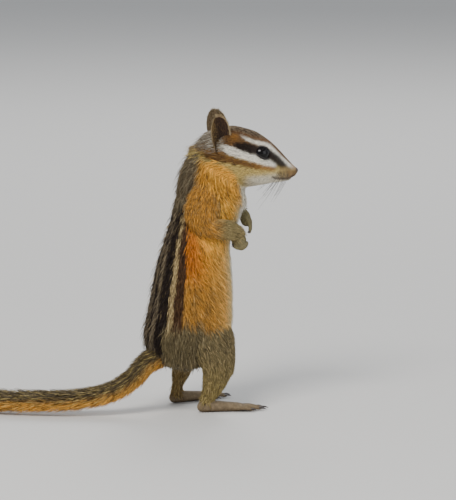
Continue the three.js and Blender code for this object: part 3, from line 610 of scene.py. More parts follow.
def body_colour(points, jitter):
    """Trunk and neck, and how far forward of the throat's edge each point lies."""
    z = points[:, 2] + jitter * 0.5
    front, _, angle, _ = trunk_turn(points)
    turn = angle + jitter * 0.9
    angle = turn / np.interp(z, [56, 74], [1.0, 0.78])
    swirl = np.sin(points[:, 0] * 1.3 + 2.0 * np.sin(z * 0.55))
    patches = 0.5 + 0.5 * swirl * np.sin(z * 0.9 + points[:, 1] * 0.7)
    body = mix(flank_colour(z, turn, angle, patches), tint(240, 208, 144), smooth(turn, 114, 136))
    body = mix(body, WHITE, smooth(turn, 138, 148))
    edge = 34.6 - 0.05 * (angle - 60) + 0.8 * np.sin(angle * 0.11)
    edge = edge + 2.2 * (patches - 0.5) + 1.1 * jitter
    body = mix(body, RUMP, (1 - smooth(z, edge - 3.0, edge + 3.6)) * (1 - smooth(turn, 136, 148)))
    body = banded_back(body, z, angle)
    # Neck: a bright collar to the cheek, grizzled nape, buff throat.
    ruff = mix(mix(BRIGHT, ORANGE, 0.4), BROWN, 0.30 + 0.28 * np.tanh(jitter + 1.6 * patches - 1.2))
    nape = mix(mix(GREY, GRIZZLE, 0.4), DARK, 0.4 + 0.38 * np.tanh(1.5 * jitter))
    body = mix(body, mix(nape, ruff, smooth(angle, 40, 66)), smooth(z, 76, 84) * 0.9)
    throat = front - np.interp(z, [78, 84.8, 90.9, 94.9], [9.6, 8.0, 5.4, 0.7])
    body = mix(body, mix(BUFF, WHITE, 0.25), smooth(throat, -1.2, 1.2) * smooth(z, 78, 82))
    body = mix(body, WHITE, smooth(turn, 134, 146) * smooth(z, 62, 68) * 0.8)
    return body, throat


def arm_colour(points, jitter):
    upper = mix(ORANGE, mix(GRIZZLE, BROWN, 0.3), 0.5 + 0.28 * np.tanh(1.5 * jitter))
    return mix(upper, mix(mix(GRIZZLE, BUFF, 0.5), GREY, 0.2), smooth(points[:, 0], 4, 11))


def leg_colour(points, body, jitter):
    """Olive grey, paler to the foot, with painted shade on the far leg, running into the body above."""
    x, y, z = points.T
    leg = mix(mix(GRIZZLE, BUFF, 0.55), mix(RUMP, mix(GRIZZLE, BUFF, 0.35), 0.2), smooth(z, 8, 26))
    # Painted shade: the far (left) leg is darkened.
    leg = mix(leg, mix(DARK, BROWN, 0.6), smooth(y, 0, 6) * 0.45)
    leg = mix(leg, body, smooth(z + jitter * 0.5, 32.0, 35.0))
    return mix(leg, BLACK, (1 - smooth(z, 2.0, 5.0)) * 0.35)


def hand_colour(points):
    """Olive skin, with painted shade between the fingers and in the hollow of the palm."""
    colour = mix(tint(132, 122, 86), GRIZZLE, 0.3) + np.zeros((len(points), 3))
    for knuckle, row, out, curled in CURL.values():
        rel = points - np.array(knuckle)
        slot = rel @ unit(row) / FINGER_SPACING
        # Painted shade: the creases between the fingers and the palm's hollow under them are darkened.
        painted_crease_shade = np.exp(-((slot - np.round(slot)) / 0.13) ** 2) * (np.abs(slot) < 1.4)
        on_fingers = (np.linalg.norm(rel, axis=1) < 5.5) * (rel @ unit(out) > -0.6)
        colour = mix(colour, DARK, painted_crease_shade * on_fingers * 0.75)
        hollow = np.linalg.norm(rel - np.array(out) * 1.9 - np.array(curled) * 1.9, axis=1)
        colour = mix(colour, tint(52, 40, 32), np.exp(-(hollow / 1.25) ** 2) * 0.85)
    return colour


def foot_colour(points):
    upper = mix(tint(138, 118, 94), GRIZZLE, 0.3) + np.zeros((len(points), 3))
    return mix(upper, DARK, (1 - smooth(points[:, 2], 0.4, 1.6)) * 0.5)


def face_colour(points, throat, jitter):
    """Crown, stripes, cheek, chin and muzzle, then the dark of the lids and the pale nape."""
    reach, side, level = head_spot(points)
    level = level + jitter * 0.25
    fleck = np.tanh(1.4 * jitter)
    head = mix(BUFF, mix(BROWN, GRIZZLE, 0.3), smooth(level - 0.1 * (14 - reach), 96.5, 98.5))
    head = mix(head, WHITE, (1 - smooth(level, 88.5, 91.5)) * smooth(reach, 12, 18) * 0.75)
    collar = (1 - smooth(throat, -1.5, 1.5)) * (1 - smooth(level, 94.0, 96)) * 0.95
    head = mix(head, mix(BRIGHT, ORANGE, 0.4), collar)
    ear_front = np.exp(-((reach - 10.4) / 1.7) ** 2 - ((level - 104.8) / 2.4) ** 2)
    head = mix(head, DARK, smooth(level, 99, 102) * (0.35 + 0.25 * fleck))
    head = mix(head, mix(mix(ORANGE, BROWN, 0.6), DARK, 0.3 + 0.3 * fleck), ear_front * 0.65)
    cheek = mix(mix(BROWN, ORANGE, 0.25), DARK, 0.72 - 0.34 * smooth(reach, 12, 24) + 0.2 * np.tanh(jitter))
    for line, colour, amount in (
            (CHEEK_LINE, cheek, 0.95), (WHITE_LOWER, WHITE, 0.97), (WHITE_UPPER, WHITE, 0.97),
            (EYE_LINE_REAR, tint(30, 21, 16), 0.96), (EYE_LINE_FRONT, tint(24, 16, 12), 0.97)):
        away, place = near_line(reach, level, line)
        half = np.interp(place * (len(line) - 1), range(len(line)), [row[2] for row in line])
        near = (1 - smooth(away, half - LINE_BLUR, half + LINE_BLUR)) * amount * (np.abs(side) > 0.9)
        head = mix(head, colour, near)
    crown_edge = np.interp(reach, CROWN_EDGE[:, 0], CROWN_EDGE[:, 1])
    crown = mix(mix(DARK, BLACK, 0.35), mix(GREY, BROWN, 0.15), smooth(jitter, -0.3, 0.7) * 0.85)
    crown = mix(crown, BROWN, np.exp(-((level - crown_edge - 0.5) / 0.6) ** 2) * 0.5)
    head = mix(head, crown, smooth(level - crown_edge, -0.35, 0.45) * smooth(reach, 5, 9))
    muzzle = smooth(reach, 26.0, 28.5) * (1 - smooth(level, 92.0, 93.4)) * smooth(level, 87.4, 88.6)
    speckled = mix(mix(GREY, BUFF, 0.6), mix(BROWN, DARK, 0.4), 0.45 + 0.4 * np.tanh(2 * jitter))
    head = mix(head, speckled, muzzle * 0.85)
    under_nose = smooth(reach, 29.5, 32.0) * (1 - smooth(level, 90.6, 92.0)) * smooth(level, 87.6, 88.6)
    head = mix(head, mix(BROWN, DARK, 0.5), under_nose * 0.65)
    nose_bridge = smooth(reach, 32.0, 33.6) * smooth(level, 91.4, 92.6)
    head = mix(head, mix(tint(190, 160, 138), GREY, 0.3), nose_bridge)
    for hand in (1, -1):
        oval, out, _ = eye_oval(points, hand, 0.8, 0.3)
        head = mix(head, BLACK, (1 - smooth(np.sqrt(oval), 1.02, 1.12)) * (out > 0) * 0.97)
    behind = (1 - smooth(reach, 4.0, 7.5)) * smooth(level, 99, 101.5)
    return mix(head, mix(mix(GREY, DARK, 0.5), WHITE, 0.24 + 0.36 * fleck), behind * 0.9)


def coat_colour(points, region, jitter):
    """The markings, with painted shade on the hands and the far leg, from the place on the body alone.
    jitter roughens the edge of a stripe.
    """
    body, throat = body_colour(points, jitter)
    tail = mix(mix(GRIZZLE, DARK, 0.35), mix(ORANGE, BUFF, 0.2), 0.35)
    ear = mix(DARK, BLACK, 0.35)
    colours = [body, face_colour(points, throat, jitter), arm_colour(points, jitter),
               leg_colour(points, body, jitter), hand_colour(points), foot_colour(points), tail, ear]
    return np.select([(region == k)[:, None] for k in range(len(REGIONS))], colours)


skin_colour = coat_colour(skin_points, skin_region, np.zeros(len(skin_points)))
for k in range(6):
    skin_colour = 0.5 * skin_colour + 0.5 * spread(skin_colour)
away, _ = near_line(*[head_spot(skin_points)[k] for k in (0, 2)], MOUTH)
# Painted shade along the pressed-in line of the mouth.
mouth_crease_shade = on_part(skin_region, "head") * np.exp(-(away / 0.5) ** 2)
skin_colour = mix(skin_colour, tint(66, 44, 36), mouth_crease_shade * 0.75)


def finish_piece(name, points, faces, slot, nodes=(), attributes=()):
    """Turn points in millimetres into a named piece of the part, which stands in for the nodes."""
    mesh = raw_mesh(name, (points + SHIFT) * 0.001, faces)
    for label, kind, values in attributes:
        layer = mesh.attributes.new(label, kind, "POINT")
        if kind == "FLOAT_COLOR":
            rgba = np.ones((len(values), 4), np.float32)
            rgba[:, :3] = values
            layer.data.foreach_set("color", rgba.ravel())
        else:
            layer.data.foreach_set("value", np.asarray(values, np.float32))
    mesh.polygons.foreach_set("use_smooth", np.ones(len(mesh.polygons), bool))
    piece = put_in_scene(name, mesh)
    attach(piece, "root")
    if nodes:
        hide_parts(*nodes)
    return piece


def set_uv(mesh, corner_uv):
    layer = mesh.uv_layers.new(name="OFBake")
    layer.data.foreach_set("uv", np.asarray(corner_uv, np.float32).ravel())


def set_inputs(node, values):
    for key, value in values.items():
        node.inputs[key].default_value = value


def add_node(tree, kind, values={}, operation=None):
    """A new node of a tree, with the values of its inputs by their names or numbers."""
    node = tree.nodes.new(kind)
    if operation:
        node.operation = operation
    set_inputs(node, values)
    return node


def read_attribute(tree, name):
    node = tree.nodes.new("ShaderNodeAttribute")
    node.attribute_name = name
    return node


def wire(tree, *pairs):
    for start, end in pairs:
        tree.links.new(start, end)


def new_group(name, kind, inputs, outputs):
    """A node group with named inputs and outputs, and the two nodes at its ends."""
    group = bpy.data.node_groups.new(name, kind)
    for way, sockets in (("INPUT", inputs), ("OUTPUT", outputs)):
        for label, socket in sockets.items():
            group.interface.new_socket(label, in_out=way, socket_type="NodeSocket" + socket)
    return group, group.nodes.new("NodeGroupInput"), group.nodes.new("NodeGroupOutput")


def new_material(name, looks):
    material = bpy.data.materials.new(name)
    material.use_nodes = True
    tree = material.node_tree
    shader = tree.nodes["Principled BSDF"]
    set_inputs(shader, looks)
    return material, tree, shader


# Short hair is many shades at once: a group varies the colour by hair and along its length.
def hair_group():
    group, given, made = new_group("hair_shade", "ShaderNodeTree", {
        "Coat": "Color", "Along": "Float", "Draw": "Float", "Root dark": "Float", "Spread": "Float",
    }, {"Colour": "Color"})
    ramp = add_node(group, "ShaderNodeMapRange", {"From Min": 0.0, "From Max": 0.7, "To Max": 1.08})
    value = add_node(group, "ShaderNodeMath", {1: 0.5}, "SUBTRACT")
    swing = add_node(group, "ShaderNodeMath", {2: 1.0}, "MULTIPLY_ADD")
    both = add_node(group, "ShaderNodeMath", {}, "MULTIPLY")
    scale = add_node(group, "ShaderNodeVectorMath", {}, "SCALE")
    wire(group, (given.outputs["Along"], ramp.inputs["Value"]),
         (given.outputs["Root dark"], ramp.inputs["To Min"]),
         (given.outputs["Draw"], value.inputs[0]),
         (value.outputs[0], swing.inputs[0]),
         (given.outputs["Spread"], swing.inputs[1]),
         (ramp.outputs["Result"], both.inputs[0]),
         (swing.outputs[0], both.inputs[1]),
         (given.outputs["Coat"], scale.inputs[0]),
         (both.outputs[0], scale.inputs["Scale"]),
         (scale.outputs["Vector"], made.inputs["Colour"]))
    return group


HAIR = hair_group()


def coat_material(name, root_dark, spread_amount, roughness):
    material, tree, shader = new_material(name, {"Roughness": roughness, "Specular IOR Level": 0.25})
    coat, along, draw = (read_attribute(tree, label) for label in ("coat", "along", "draw"))
    shade = tree.nodes.new("ShaderNodeGroup")
    shade.node_tree = HAIR
    set_inputs(shade, {"Root dark": root_dark, "Spread": spread_amount})
    wire(tree, (coat.outputs["Color"], shade.inputs["Coat"]),
         (along.outputs["Fac"], shade.inputs["Along"]),
         (draw.outputs["Fac"], shade.inputs["Draw"]),
         (shade.outputs["Colour"], shader.inputs["Base Color"]))
    return material


def skin_material():
    material, tree, shader = new_material("skin", {"Roughness": 0.75, "Specular IOR Level": 0.2})
    coat = read_attribute(tree, "coat")
    place = tree.nodes.new("ShaderNodeTexCoord")
    grain = add_node(tree, "ShaderNodeTexNoise", {"Scale": 900.0, "Detail": 3.0})
    ramp = add_node(tree, "ShaderNodeMapRange", {"From Min": 0.3, "From Max": 0.7, "To Min": 0.55,
                                                 "To Max": 0.95})
    scale = add_node(tree, "ShaderNodeVectorMath", {}, "SCALE")
    bump = add_node(tree, "ShaderNodeBump", {"Strength": 0.5, "Distance": 0.0002})
    wire(tree, (place.outputs["Object"], grain.inputs["Vector"]),
         (grain.outputs["Fac"], ramp.inputs["Value"]),
         (coat.outputs["Color"], scale.inputs[0]),
         (ramp.outputs["Result"], scale.inputs["Scale"]),
         (scale.outputs["Vector"], shader.inputs["Base Color"]),
         (grain.outputs["Fac"], bump.inputs["Height"]),
         (bump.outputs["Normal"], shader.inputs["Normal"]))
    return material


flesh = ["head", "neck", "chest", "belly", "rump", "tail_root", "tail_middle", "tail_tip"]
for side in ("left", "right"):
    flesh += [part + "_" + side for part in ("upper_arm", "forearm", "hand", "thigh", "shin", "foot")]
skin = finish_piece("skin", skin_points, skin_faces, "leg_coat", flesh,
                    [("coat", "FLOAT_COLOR", skin_colour)])
skin.data.materials.append(skin_material())

# The eyes: large, round, near black and wet, set deep between thin dark lids.
# Each is a glossy ball with a slightly fuller front; the lids are a closed ring along its opening.
EYE_BULGE = 0.03
eye_material = new_material("eye", {"Base Color": (0.004, 0.003, 0.003, 1), "Roughness": 0.04,
                                    "Specular IOR Level": 0.22})[0]
lid_material = new_material("lid", {"Base Color": (*tint(26, 20, 18), 1), "Roughness": 0.5})[0]


def turn_ring(profile_rings):
    """Closed body from rings that run round an opening and back to the first."""
    rings = np.array(profile_rings)
    rows, sides = rings.shape[:2]
    grid = np.arange(rows * sides).reshape(rows, sides)
    a, b = grid, np.roll(grid, -1, 0)
    quads = np.stack([a, np.roll(a, -1, 1), np.roll(b, -1, 1), b], -1).reshape(-1, 4)
    faces = np.concatenate([quads[:, [0, 1, 2]], quads[:, [0, 2, 3]]])
    points = rings.reshape(-1, 3)
    return points, outward(points, faces)


for side, hand in (("left", 1), ("right", -1)):
    center, look, across, raised = eye_place(hand)
    a = np.linspace(0, 2 * np.pi, 40, endpoint=False)[:, None]
    rings = []
    for b in np.linspace(-1.45, 1.45, 25):
        bulge = EYE_RADIUS * (1 + EYE_BULGE * smooth(b, 0.7, 1.45))
        rings.append(center + look * bulge * math.sin(b)
                     + (np.cos(a) * across + np.sin(a) * raised) * EYE_RADIUS * math.cos(b))
    points, faces = closed_body(rings, center - look * EYE_RADIUS,
                                center + look * EYE_RADIUS * (1 + EYE_BULGE))
    eye = finish_piece("eyeball_" + side, points, faces, "eye", ["eye_" + side])
    eye.data.materials.append(eye_material)
    rim = []
    for b in np.linspace(0, 2 * np.pi, 48, endpoint=False):
        u, w = math.cos(b) * HALF_LONG, math.sin(b) * HALF_HIGH
        w = w * (0.94 if w < 0 else 1.0) - 0.05 * u
        base = across * u + raised * w
        deep = math.sqrt(max(0.5, (EYE_RADIUS + 0.1) ** 2 - u * u - w * w))
        p = center + base + look * deep
        out = unit(base)
        front = unit(p - center)
        out = unit(out - front * np.dot(out, front))
        c = np.linspace(0, 2 * np.pi, 10, endpoint=False)[:, None]
        rim.append(p + out * 0.16 + np.cos(c) * out * 0.32 + np.sin(c) * front * 0.24)
    points, faces = turn_ring(rim)
    lid = finish_piece("lids_" + side, points, faces, "head_coat")
    lid.data.materials.append(lid_material)

# The ears: thin cupped sheets, dark inside with a pale rim.
# A round edge closes each sheet; its foot is sunk in the head.
EAR_HEIGHT, EAR_WIDTH, EAR_RIM = 13.1, 9.0, 0.13


def ear_sheet(hand):
    """A cupped sheet: points, faces, depth inside the cup (below 0 behind), lean, and rearward place."""
    root = at_head(5.95 + hand * 0.35, hand * 8.4, 100.3)
    lean = unit(UP - heading(HEAD_YAW) * 0.16 + HEAD_SIDE * hand * 0.1)
    opening = heading(HEAD_YAW + hand * 58)
    opening = unit(opening - lean * np.dot(opening, lean))
    across = unit(np.cross(opening, lean))

    def half(t):
        if t < 0.45:
            return EAR_WIDTH / 2 * (0.8 + 0.2 * math.sin(t / 0.45 * math.pi / 2))
        return EAR_WIDTH / 2 * math.sqrt(max(0.0, 1 - ((t - 0.45) / 0.57) ** 2))

    def point(s, t, layer):
        cup = 2.5 * (1 - s * s) * (1 - 0.55 * t) + 0.4 * t * t
        thick = 0.62 * (1 - 0.3 * t) * math.sqrt(max(0.02, 1 - s ** 6))
        return root + lean * t * EAR_HEIGHT + across * s * half(t) + opening * (1.0 - cup - thick * layer)

    columns, rings, inner = 22, [], []
    for t in 1 - (1 - np.linspace(0, 1, 26)) ** 1.6:
        t = min(t, 0.995)
        front = [point(s, t, 0) for s in np.linspace(-1, 1, columns)]
        back = [point(s, t, 1) for s in np.linspace(1, -1, columns)]
        rings.append(front + back)
        inner.append([(1 - abs(s) ** 3) * (1 - t ** 4) for s in np.linspace(-1, 1, columns)]
                     + [-1.0] * columns)
    points, faces = closed_body(rings, point(0, 0, 0.5), point(0, 1.0, 0.5))
    depth = np.append(np.array(inner).ravel(), [0, 0])
    return points, faces, depth, lean, (points - root) @ across * -hand


ears = {}
for side, hand in (("left", 1), ("right", -1)):
    points, faces, depth, lean, rearward = ear_sheet(hand)
    height = (points[:, 2] - 100.8) / EAR_HEIGHT
    # The inside is dark skin, darkened further by painted shade deep in the cup and toward its foot.
    inside = mix(tint(70, 50, 38), tint(26, 18, 15), np.clip(depth, 0, 1) * (1 - height * 0.5))
    rim = mix(tint(196, 168, 132), tint(120, 92, 70), 0.25)
    colour = np.where((depth < 0)[:, None], mix(tint(96, 72, 52), tint(52, 38, 30), 0.4), inside)
    gold = smooth(rearward, -0.6, 2.2) * smooth(height, 0.2, 0.45) * (depth >= 0)
    inside = mix(inside, tint(132, 104, 60), gold * 0.6)
    edge = (depth >= 0) & (depth < EAR_RIM)
    colour[edge] = rim
    ear = finish_piece("ear_skin_" + side, points, faces, "ear_skin", ["ear_" + side],
                       [("coat", "FLOAT_COLOR", colour)])
    ear.data.materials.append(skin.data.materials[0])
    ears[hand] = (points, faces, depth, lean, rearward)

# The nose: a small bare pad of leather, split below, with a comma-shaped nostril at each side.
# It is a dome set on the end of the muzzle, with the split and nostrils pressed in.
NOSE_AT, NOSE_SIZE = at_head(34.1, 0, 90.95), np.array([1.42, 1.5, 1.3])
nose_ahead = unit(heading(HEAD_YAW) - UP * 0.25)
nose_top = np.cross(nose_ahead, HEAD_SIDE)
rings = oval_rings(NOSE_AT, nose_ahead, HEAD_SIDE, nose_top, NOSE_SIZE, np.linspace(-1.45, 1.45, 34), 56)
nose_points, nose_faces = closed_body(rings, NOSE_AT - nose_ahead * NOSE_SIZE[0],
                                      NOSE_AT + nose_ahead * NOSE_SIZE[0])
rel = nose_points - NOSE_AT
ahead, side, top = rel @ nose_ahead, rel @ HEAD_SIDE, rel @ nose_top
pit = np.zeros(len(rel))
for hand in (1, -1):
    for u, w, size in ((0.72, -0.10, 0.34), (0.98, 0.12, 0.24)):
        pit += np.exp(-((side * hand - u) ** 2 + (top - w) ** 2) / size ** 2) * (ahead > -0.2)
split = np.exp(-(side / 0.12) ** 2) * (top < 0.2) * (ahead > 0)
pit = np.clip(pit, 0, 1)
nose_points = nose_points - unit(rel) * (0.42 * pit + 0.16 * split)[:, None]
# Painted shade darkens the pressed-in nostrils and the split.
painted_pit_shade = np.clip(pit * 1.2 + split * 0.6, 0, 1)
leather = mix(tint(96, 82, 74) + np.zeros((len(rel), 3)), tint(20, 13, 12), painted_pit_shade)
nose = finish_piece("nose", nose_points, nose_faces, "head_coat", (), [("coat", "FLOAT_COLOR", leather)])
nose.data.materials.append(skin.data.materials[0])

# The coat: solid tapered tufts that follow the lie of the hair, from nose to tail.
# Each is a flat three-sided blade, sunk at its root and closed at its foot.
LENGTH = {"trunk": 3.9, "head": 1.7, "arm": 2.8, "leg": 2.9, "hand": 1.1, "foot": 1.3}
DENSITY = {"trunk": 8.0, "head": 15.0, "arm": 11.0, "leg": 9.0, "hand": 14.0, "foot": 12.0}
WIDTH = {"trunk": 0.20, "head": 0.13, "arm": 0.17, "leg": 0.19, "hand": 0.10, "foot": 0.11}
LIFT = {"trunk": 0.62, "head": 0.40, "arm": 0.52, "leg": 0.50, "hand": 0.22, "foot": 0.22}

PATCH = 0.0028  # a tuft's size on the chart


def tufts(name, roots, normals, lie, length, width, lift, colour, chart, slot, material, rings=2,
          sink=0.25, droop=0.5):
    n = len(roots)
    side = unit(np.cross(lie, normals))
    places = [0.0, 0.5, 1.0] if rings == 2 else [0.0, 0.36, 0.72, 1.0]
    shape = [1.0, 0.72] if rings == 2 else [0.85, 1.0, 0.62]
    points, along = [], []
    length, width, lift = (np.asarray(v, float)[:, None] for v in (length, width, lift))
    curve = rng.normal(0, 0.10, (n, 1))
    for k, t in enumerate(places):
        spine = (roots - normals * sink + lie * length * t
                 + normals * length * lift * (t - droop * t * t) + side * length * curve * t * t)
        if k < len(shape):
            w = width * shape[k]
            points += [spine + side * w, spine + normals * w * 0.55, spine - side * w]
            along += [t] * 3
        else:
            points.append(spine)
            along.append(t)
    per = len(points)
    stacked = np.stack(points, 1)
    stacked[..., 2] = np.maximum(stacked[..., 2], 0.02 + 0.1 * rng.random((n, 1)))
    tris = [[0, 2, 1]]
    for r in range(len(shape) - 1):
        a = 3 * r
        for i in range(3):
            j = (i + 1) % 3
            tris += [[a + i, a + j, a + 3 + j], [a + i, a + 3 + j, a + 3 + i]]
    a = 3 * (len(shape) - 1)
    tris += [[a + i, a + (i + 1) % 3, a + 3] for i in range(3)]
    tris = np.array(tris)
    tris = outward(stacked[0] - stacked[0][0], tris)
    faces = (tris[None] + (np.arange(n) * per)[:, None, None]).reshape(-1, 3)
    draw = np.repeat(rng.random(n), per)
    piece = finish_piece(name, stacked.reshape(-1, 3), faces, slot, (), [
        ("coat", "FLOAT_COLOR", np.repeat(colour, per, 0)),
        ("along", "FLOAT", np.tile(along, n)), ("draw", "FLOAT", draw)])
    piece.data.materials.append(material)
    local = np.stack([np.tile([-0.5, 0.0, 0.5], len(shape)), np.repeat(places[:-1], 3)], -1)
    local = np.concatenate([local, [[0.0, 1.0]]]) * PATCH
    uv = (chart[:, None, :] + local[None]).reshape(-1, 2)
    set_uv(piece.data, uv[faces.ravel()])
    return piece


def chart_place(chart):
    """One tile of the sheet for each part of the body, by length and turn on that part."""
    tile = chart[:, 2]
    return np.stack([(chart[:, 0] * 0.92 + 0.02 + tile % 4) / 4.0,
                     (chart[:, 1] * 0.92 + 0.02 + np.floor(tile / 4)) / 4.0], -1)


skin_uv = chart_place(skin_chart)
set_uv(skin.data, skin_uv[skin_faces.ravel()])

GUARD_HAIRS, DARK_HAIRS, PALE_FROM, PALE_FROM_LEGS = 0.05, 0.12, 0.93, 0.78
fur = coat_material("fur", 0.5, 0.55, 0.62)
# Roots are spread at random over the skin's triangles, as densely as each region asks.
face_region = skin_region[skin_faces[:, 0]]
density = np.select([on_part(face_region, k) for k in DENSITY], list(DENSITY.values()), 0.0)
want = triangle_areas(skin_points, skin_faces) * density
number = np.floor(want + rng.random(len(want))).astype(int)
owner = np.repeat(np.arange(len(want)), number)
b1, b2 = rng.random(len(owner)), rng.random(len(owner))
flip = b1 + b2 > 1
b1[flip], b2[flip] = 1 - b1[flip], 1 - b2[flip]
tri = skin_faces[owner]
weights = np.stack([1 - b1 - b2, b1, b2], -1)[..., None]
roots = (skin_points[tri] * weights).sum(1)
root_normals = unit((skin_normals[tri] * weights).sum(1))
root_lie = unit((skin_lie[tri] * weights).sum(1))
corner = tri[np.arange(len(tri)), weights[..., 0].argmax(1)]
root_region = skin_region[corner]
root_chart = skin_uv[corner]
turn = rng.normal(0, 0.16, (len(roots), 1))
root_lie = root_lie - root_normals * (root_lie * root_normals).sum(1, keepdims=True)
root_lie = unit(unit(root_lie) + np.cross(root_normals, unit(root_lie)) * turn)
jitter = rng.normal(0, 1, len(roots))
# Length, width and lift: by region, shorter toward the nose, longer at the nape, with guard hairs.
pick = lambda table: np.select([on_part(root_region, k) for k in table], list(table.values()), 0.0)
length = pick(LENGTH) * rng.uniform(0.8, 1.2, len(roots))
width = pick(WIDTH) * rng.uniform(0.8, 1.2, len(roots))
lift = pick(LIFT) * rng.uniform(0.7, 1.3, len(roots))
reach, left, level = head_spot(roots)
on_head = on_part(root_region, "head")
on_paw = on_part(root_region, "hand", "foot")
face_short = np.interp(reach, [2, 7, 14, 22, 28, 32, 35], [2.1, 1.5, 1.15, 0.8, 0.62, 0.45, 0.3])
length = np.where(on_head, length * face_short, length)
lift = np.where(on_head, lift * np.interp(reach, [3, 9], [1.5, 1.0]), lift)
guard = rng.random(len(roots)) < GUARD_HAIRS
guard &= ~on_paw & (reach < 14) & (trunk_turn(roots)[2] < 110)
length = np.where(guard, length * 1.5, length)
lift = np.where(guard, lift * 1.25, lift)
width = np.where(on_head, width * np.interp(reach, [14, 24, 34], [1.1, 0.85, 0.6]), width)
trunk = on_part(root_region, "trunk")
fringe = np.where(trunk, smooth(trunk_turn(roots)[2], 100, 128), 0.0)
length = length * (1 - 0.12 * fringe)
width = width * (1 - 0.2 * fringe)
lift = lift * (1 + 0.1 * fringe)
colour = coat_colour(roots + root_lie * (length * 0.55)[:, None], root_region, jitter)
grizzled = rng.random(len(roots))
dark_hair = (grizzled < DARK_HAIRS) & ~on_part(root_region, "hand")
on_leg = on_part(root_region, "leg")
pale_hair = grizzled > np.where(on_leg, PALE_FROM_LEGS, PALE_FROM)
colour = np.where(dark_hair[:, None], mix(colour, BLACK, 0.6), colour)
paler = np.where(on_leg, 0.4, np.where(on_head & (reach > 8), 0.0, 0.22))
colour = np.where(pale_hair[:, None], mix(colour, CREAM, paler), colour)
# No tuft grows in the eyes' openings, on the mouth or nose pad, or under the paws.
keep = np.ones(len(roots), bool)
for hand in (1, -1):
    oval, out, far = eye_oval(roots, hand, 0.7, 0.45)
    keep &= ~((out > 0) & (oval < 1.0) & (far < 6.5))
away, _ = near_line(reach, level, MOUTH)
keep &= ~(on_head & (away < 0.35))
keep &= ~(on_head & (reach > 34.0))
keep &= roots[:, 2] > 0.6
keep &= ~(on_paw & (root_normals[:, 2] < -0.3))

# Pieces of the coat: their roots, their slot, and the number of meshes they are split into.
groups = {
    "coat_head": (on_head, "head_coat", 2),
    "coat_neck": (trunk & (roots[:, 2] > 74), "head_coat", 1),
    "coat_chest": (trunk & (roots[:, 2] <= 74) & (roots[:, 2] > 54), "flank_coat", 1),
    "coat_belly": (trunk & (roots[:, 2] <= 54) & (roots[:, 2] > 34), "flank_coat", 1),
    "coat_rump": (trunk & (roots[:, 2] <= 34), "leg_coat", 1),
    "coat_arms": (on_part(root_region, "arm", "hand"), "flank_coat", 1),
    "coat_legs": (on_part(root_region, "leg", "foot"), "leg_coat", 1),
}
for name, (chosen, slot, parts) in groups.items():
    members = np.flatnonzero(keep & chosen)
    members = members[np.argsort(-roots[members, 2], kind="stable")]
    shares = np.array_split(members, parts)
    for number, k in enumerate(shares):
        label = name if len(shares) == 1 else f"{name}_{number + 1}"
        tufts(label, roots[k], root_normals[k], root_lie[k], length[k], width[k], lift[k], colour[k],
              root_chart[k], slot, fur)

# The tail: long hair that stands off a thin core and sweeps to the tip.
# It is dark and grizzled above and orange to buff below, with darker and paler hairs among the rest.
tail_fur = coat_material("tail_fur", 0.7, 0.5, 0.6)
TAIL_TUFTS, QUICK_TAIL_TUFTS = 12000, 1200
count = TAIL_TUFTS
# Length of the hair, by share of the way to the tip.
TAIL_HAIR = np.array([[0.03, 4.6], [0.12, 4.8], [0.2, 5.2], [0.36, 6.4], [0.6, 7.5], [0.9, 8.5],
                      [1.0, 8.0]])
rows = np.array([[*p, r * 1.1, r] for p, r in zip(TAIL_PATH, tail_radius)])
places = np.sort(rng.uniform(0.03, 1.0, count))
turns = rng.uniform(0, 2 * np.pi, count)
tail_roots, tail_normals, tail_lie, tail_len = [], [], [], []
for place, turn_angle in zip(places, turns):
    here, along, wide, deep = frame_at(rows, place, TAIL_ACROSS)
    out = wide * math.cos(turn_angle) + deep * math.sin(turn_angle)
    flat = abs(math.cos(turn_angle))
    inward = 1 - 0.7 * float(smooth(place, 0.96, 1.0)) * rng.random()
    tail_roots.append(here[:3] + out * here[3] * 0.8 * inward)
    tail_normals.append(out)
    tail_lie.append(along)
    tail_len.append(np.interp(place, TAIL_HAIR[:, 0], TAIL_HAIR[:, 1]) * (0.8 + 0.25 * flat))
tail_roots, tail_normals, tail_lie = map(np.array, (tail_roots, tail_normals, tail_lie))
tail_len = np.array(tail_len) * rng.uniform(0.8, 1.1, count)
under = -tail_normals[:, 2]
tail_colour = mix(mix(GRIZZLE, DARK, 0.45) + np.zeros((count, 3)), mix(ORANGE, BUFF, 0.25),
                  smooth(under, -0.35, 0.5))
tone = rng.random(count)
tail_colour = np.where((tone < 0.3)[:, None], mix(tail_colour, BLACK, 0.6), tail_colour)
tail_colour = np.where((tone > 0.82)[:, None], mix(tail_colour, BUFF, 0.6), tail_colour)
tail_chart = chart_place(np.stack([places * 0.94 + 0.03, turns / (2 * np.pi) * 0.94 + 0.03,
                                   np.full(count, 7.0)], -1))
tail_lift = rng.uniform(0.55, 0.85, count) * np.interp(places, [0, 0.86, 1.0], [1.0, 1.0, 0.12])
tufts("coat_tail", tail_roots, tail_normals, tail_lie, tail_len, np.full(count, 0.17), tail_lift,
      tail_colour, tail_chart, "tail_coat", tail_fur, rings=3, sink=0.3, droop=0.35)

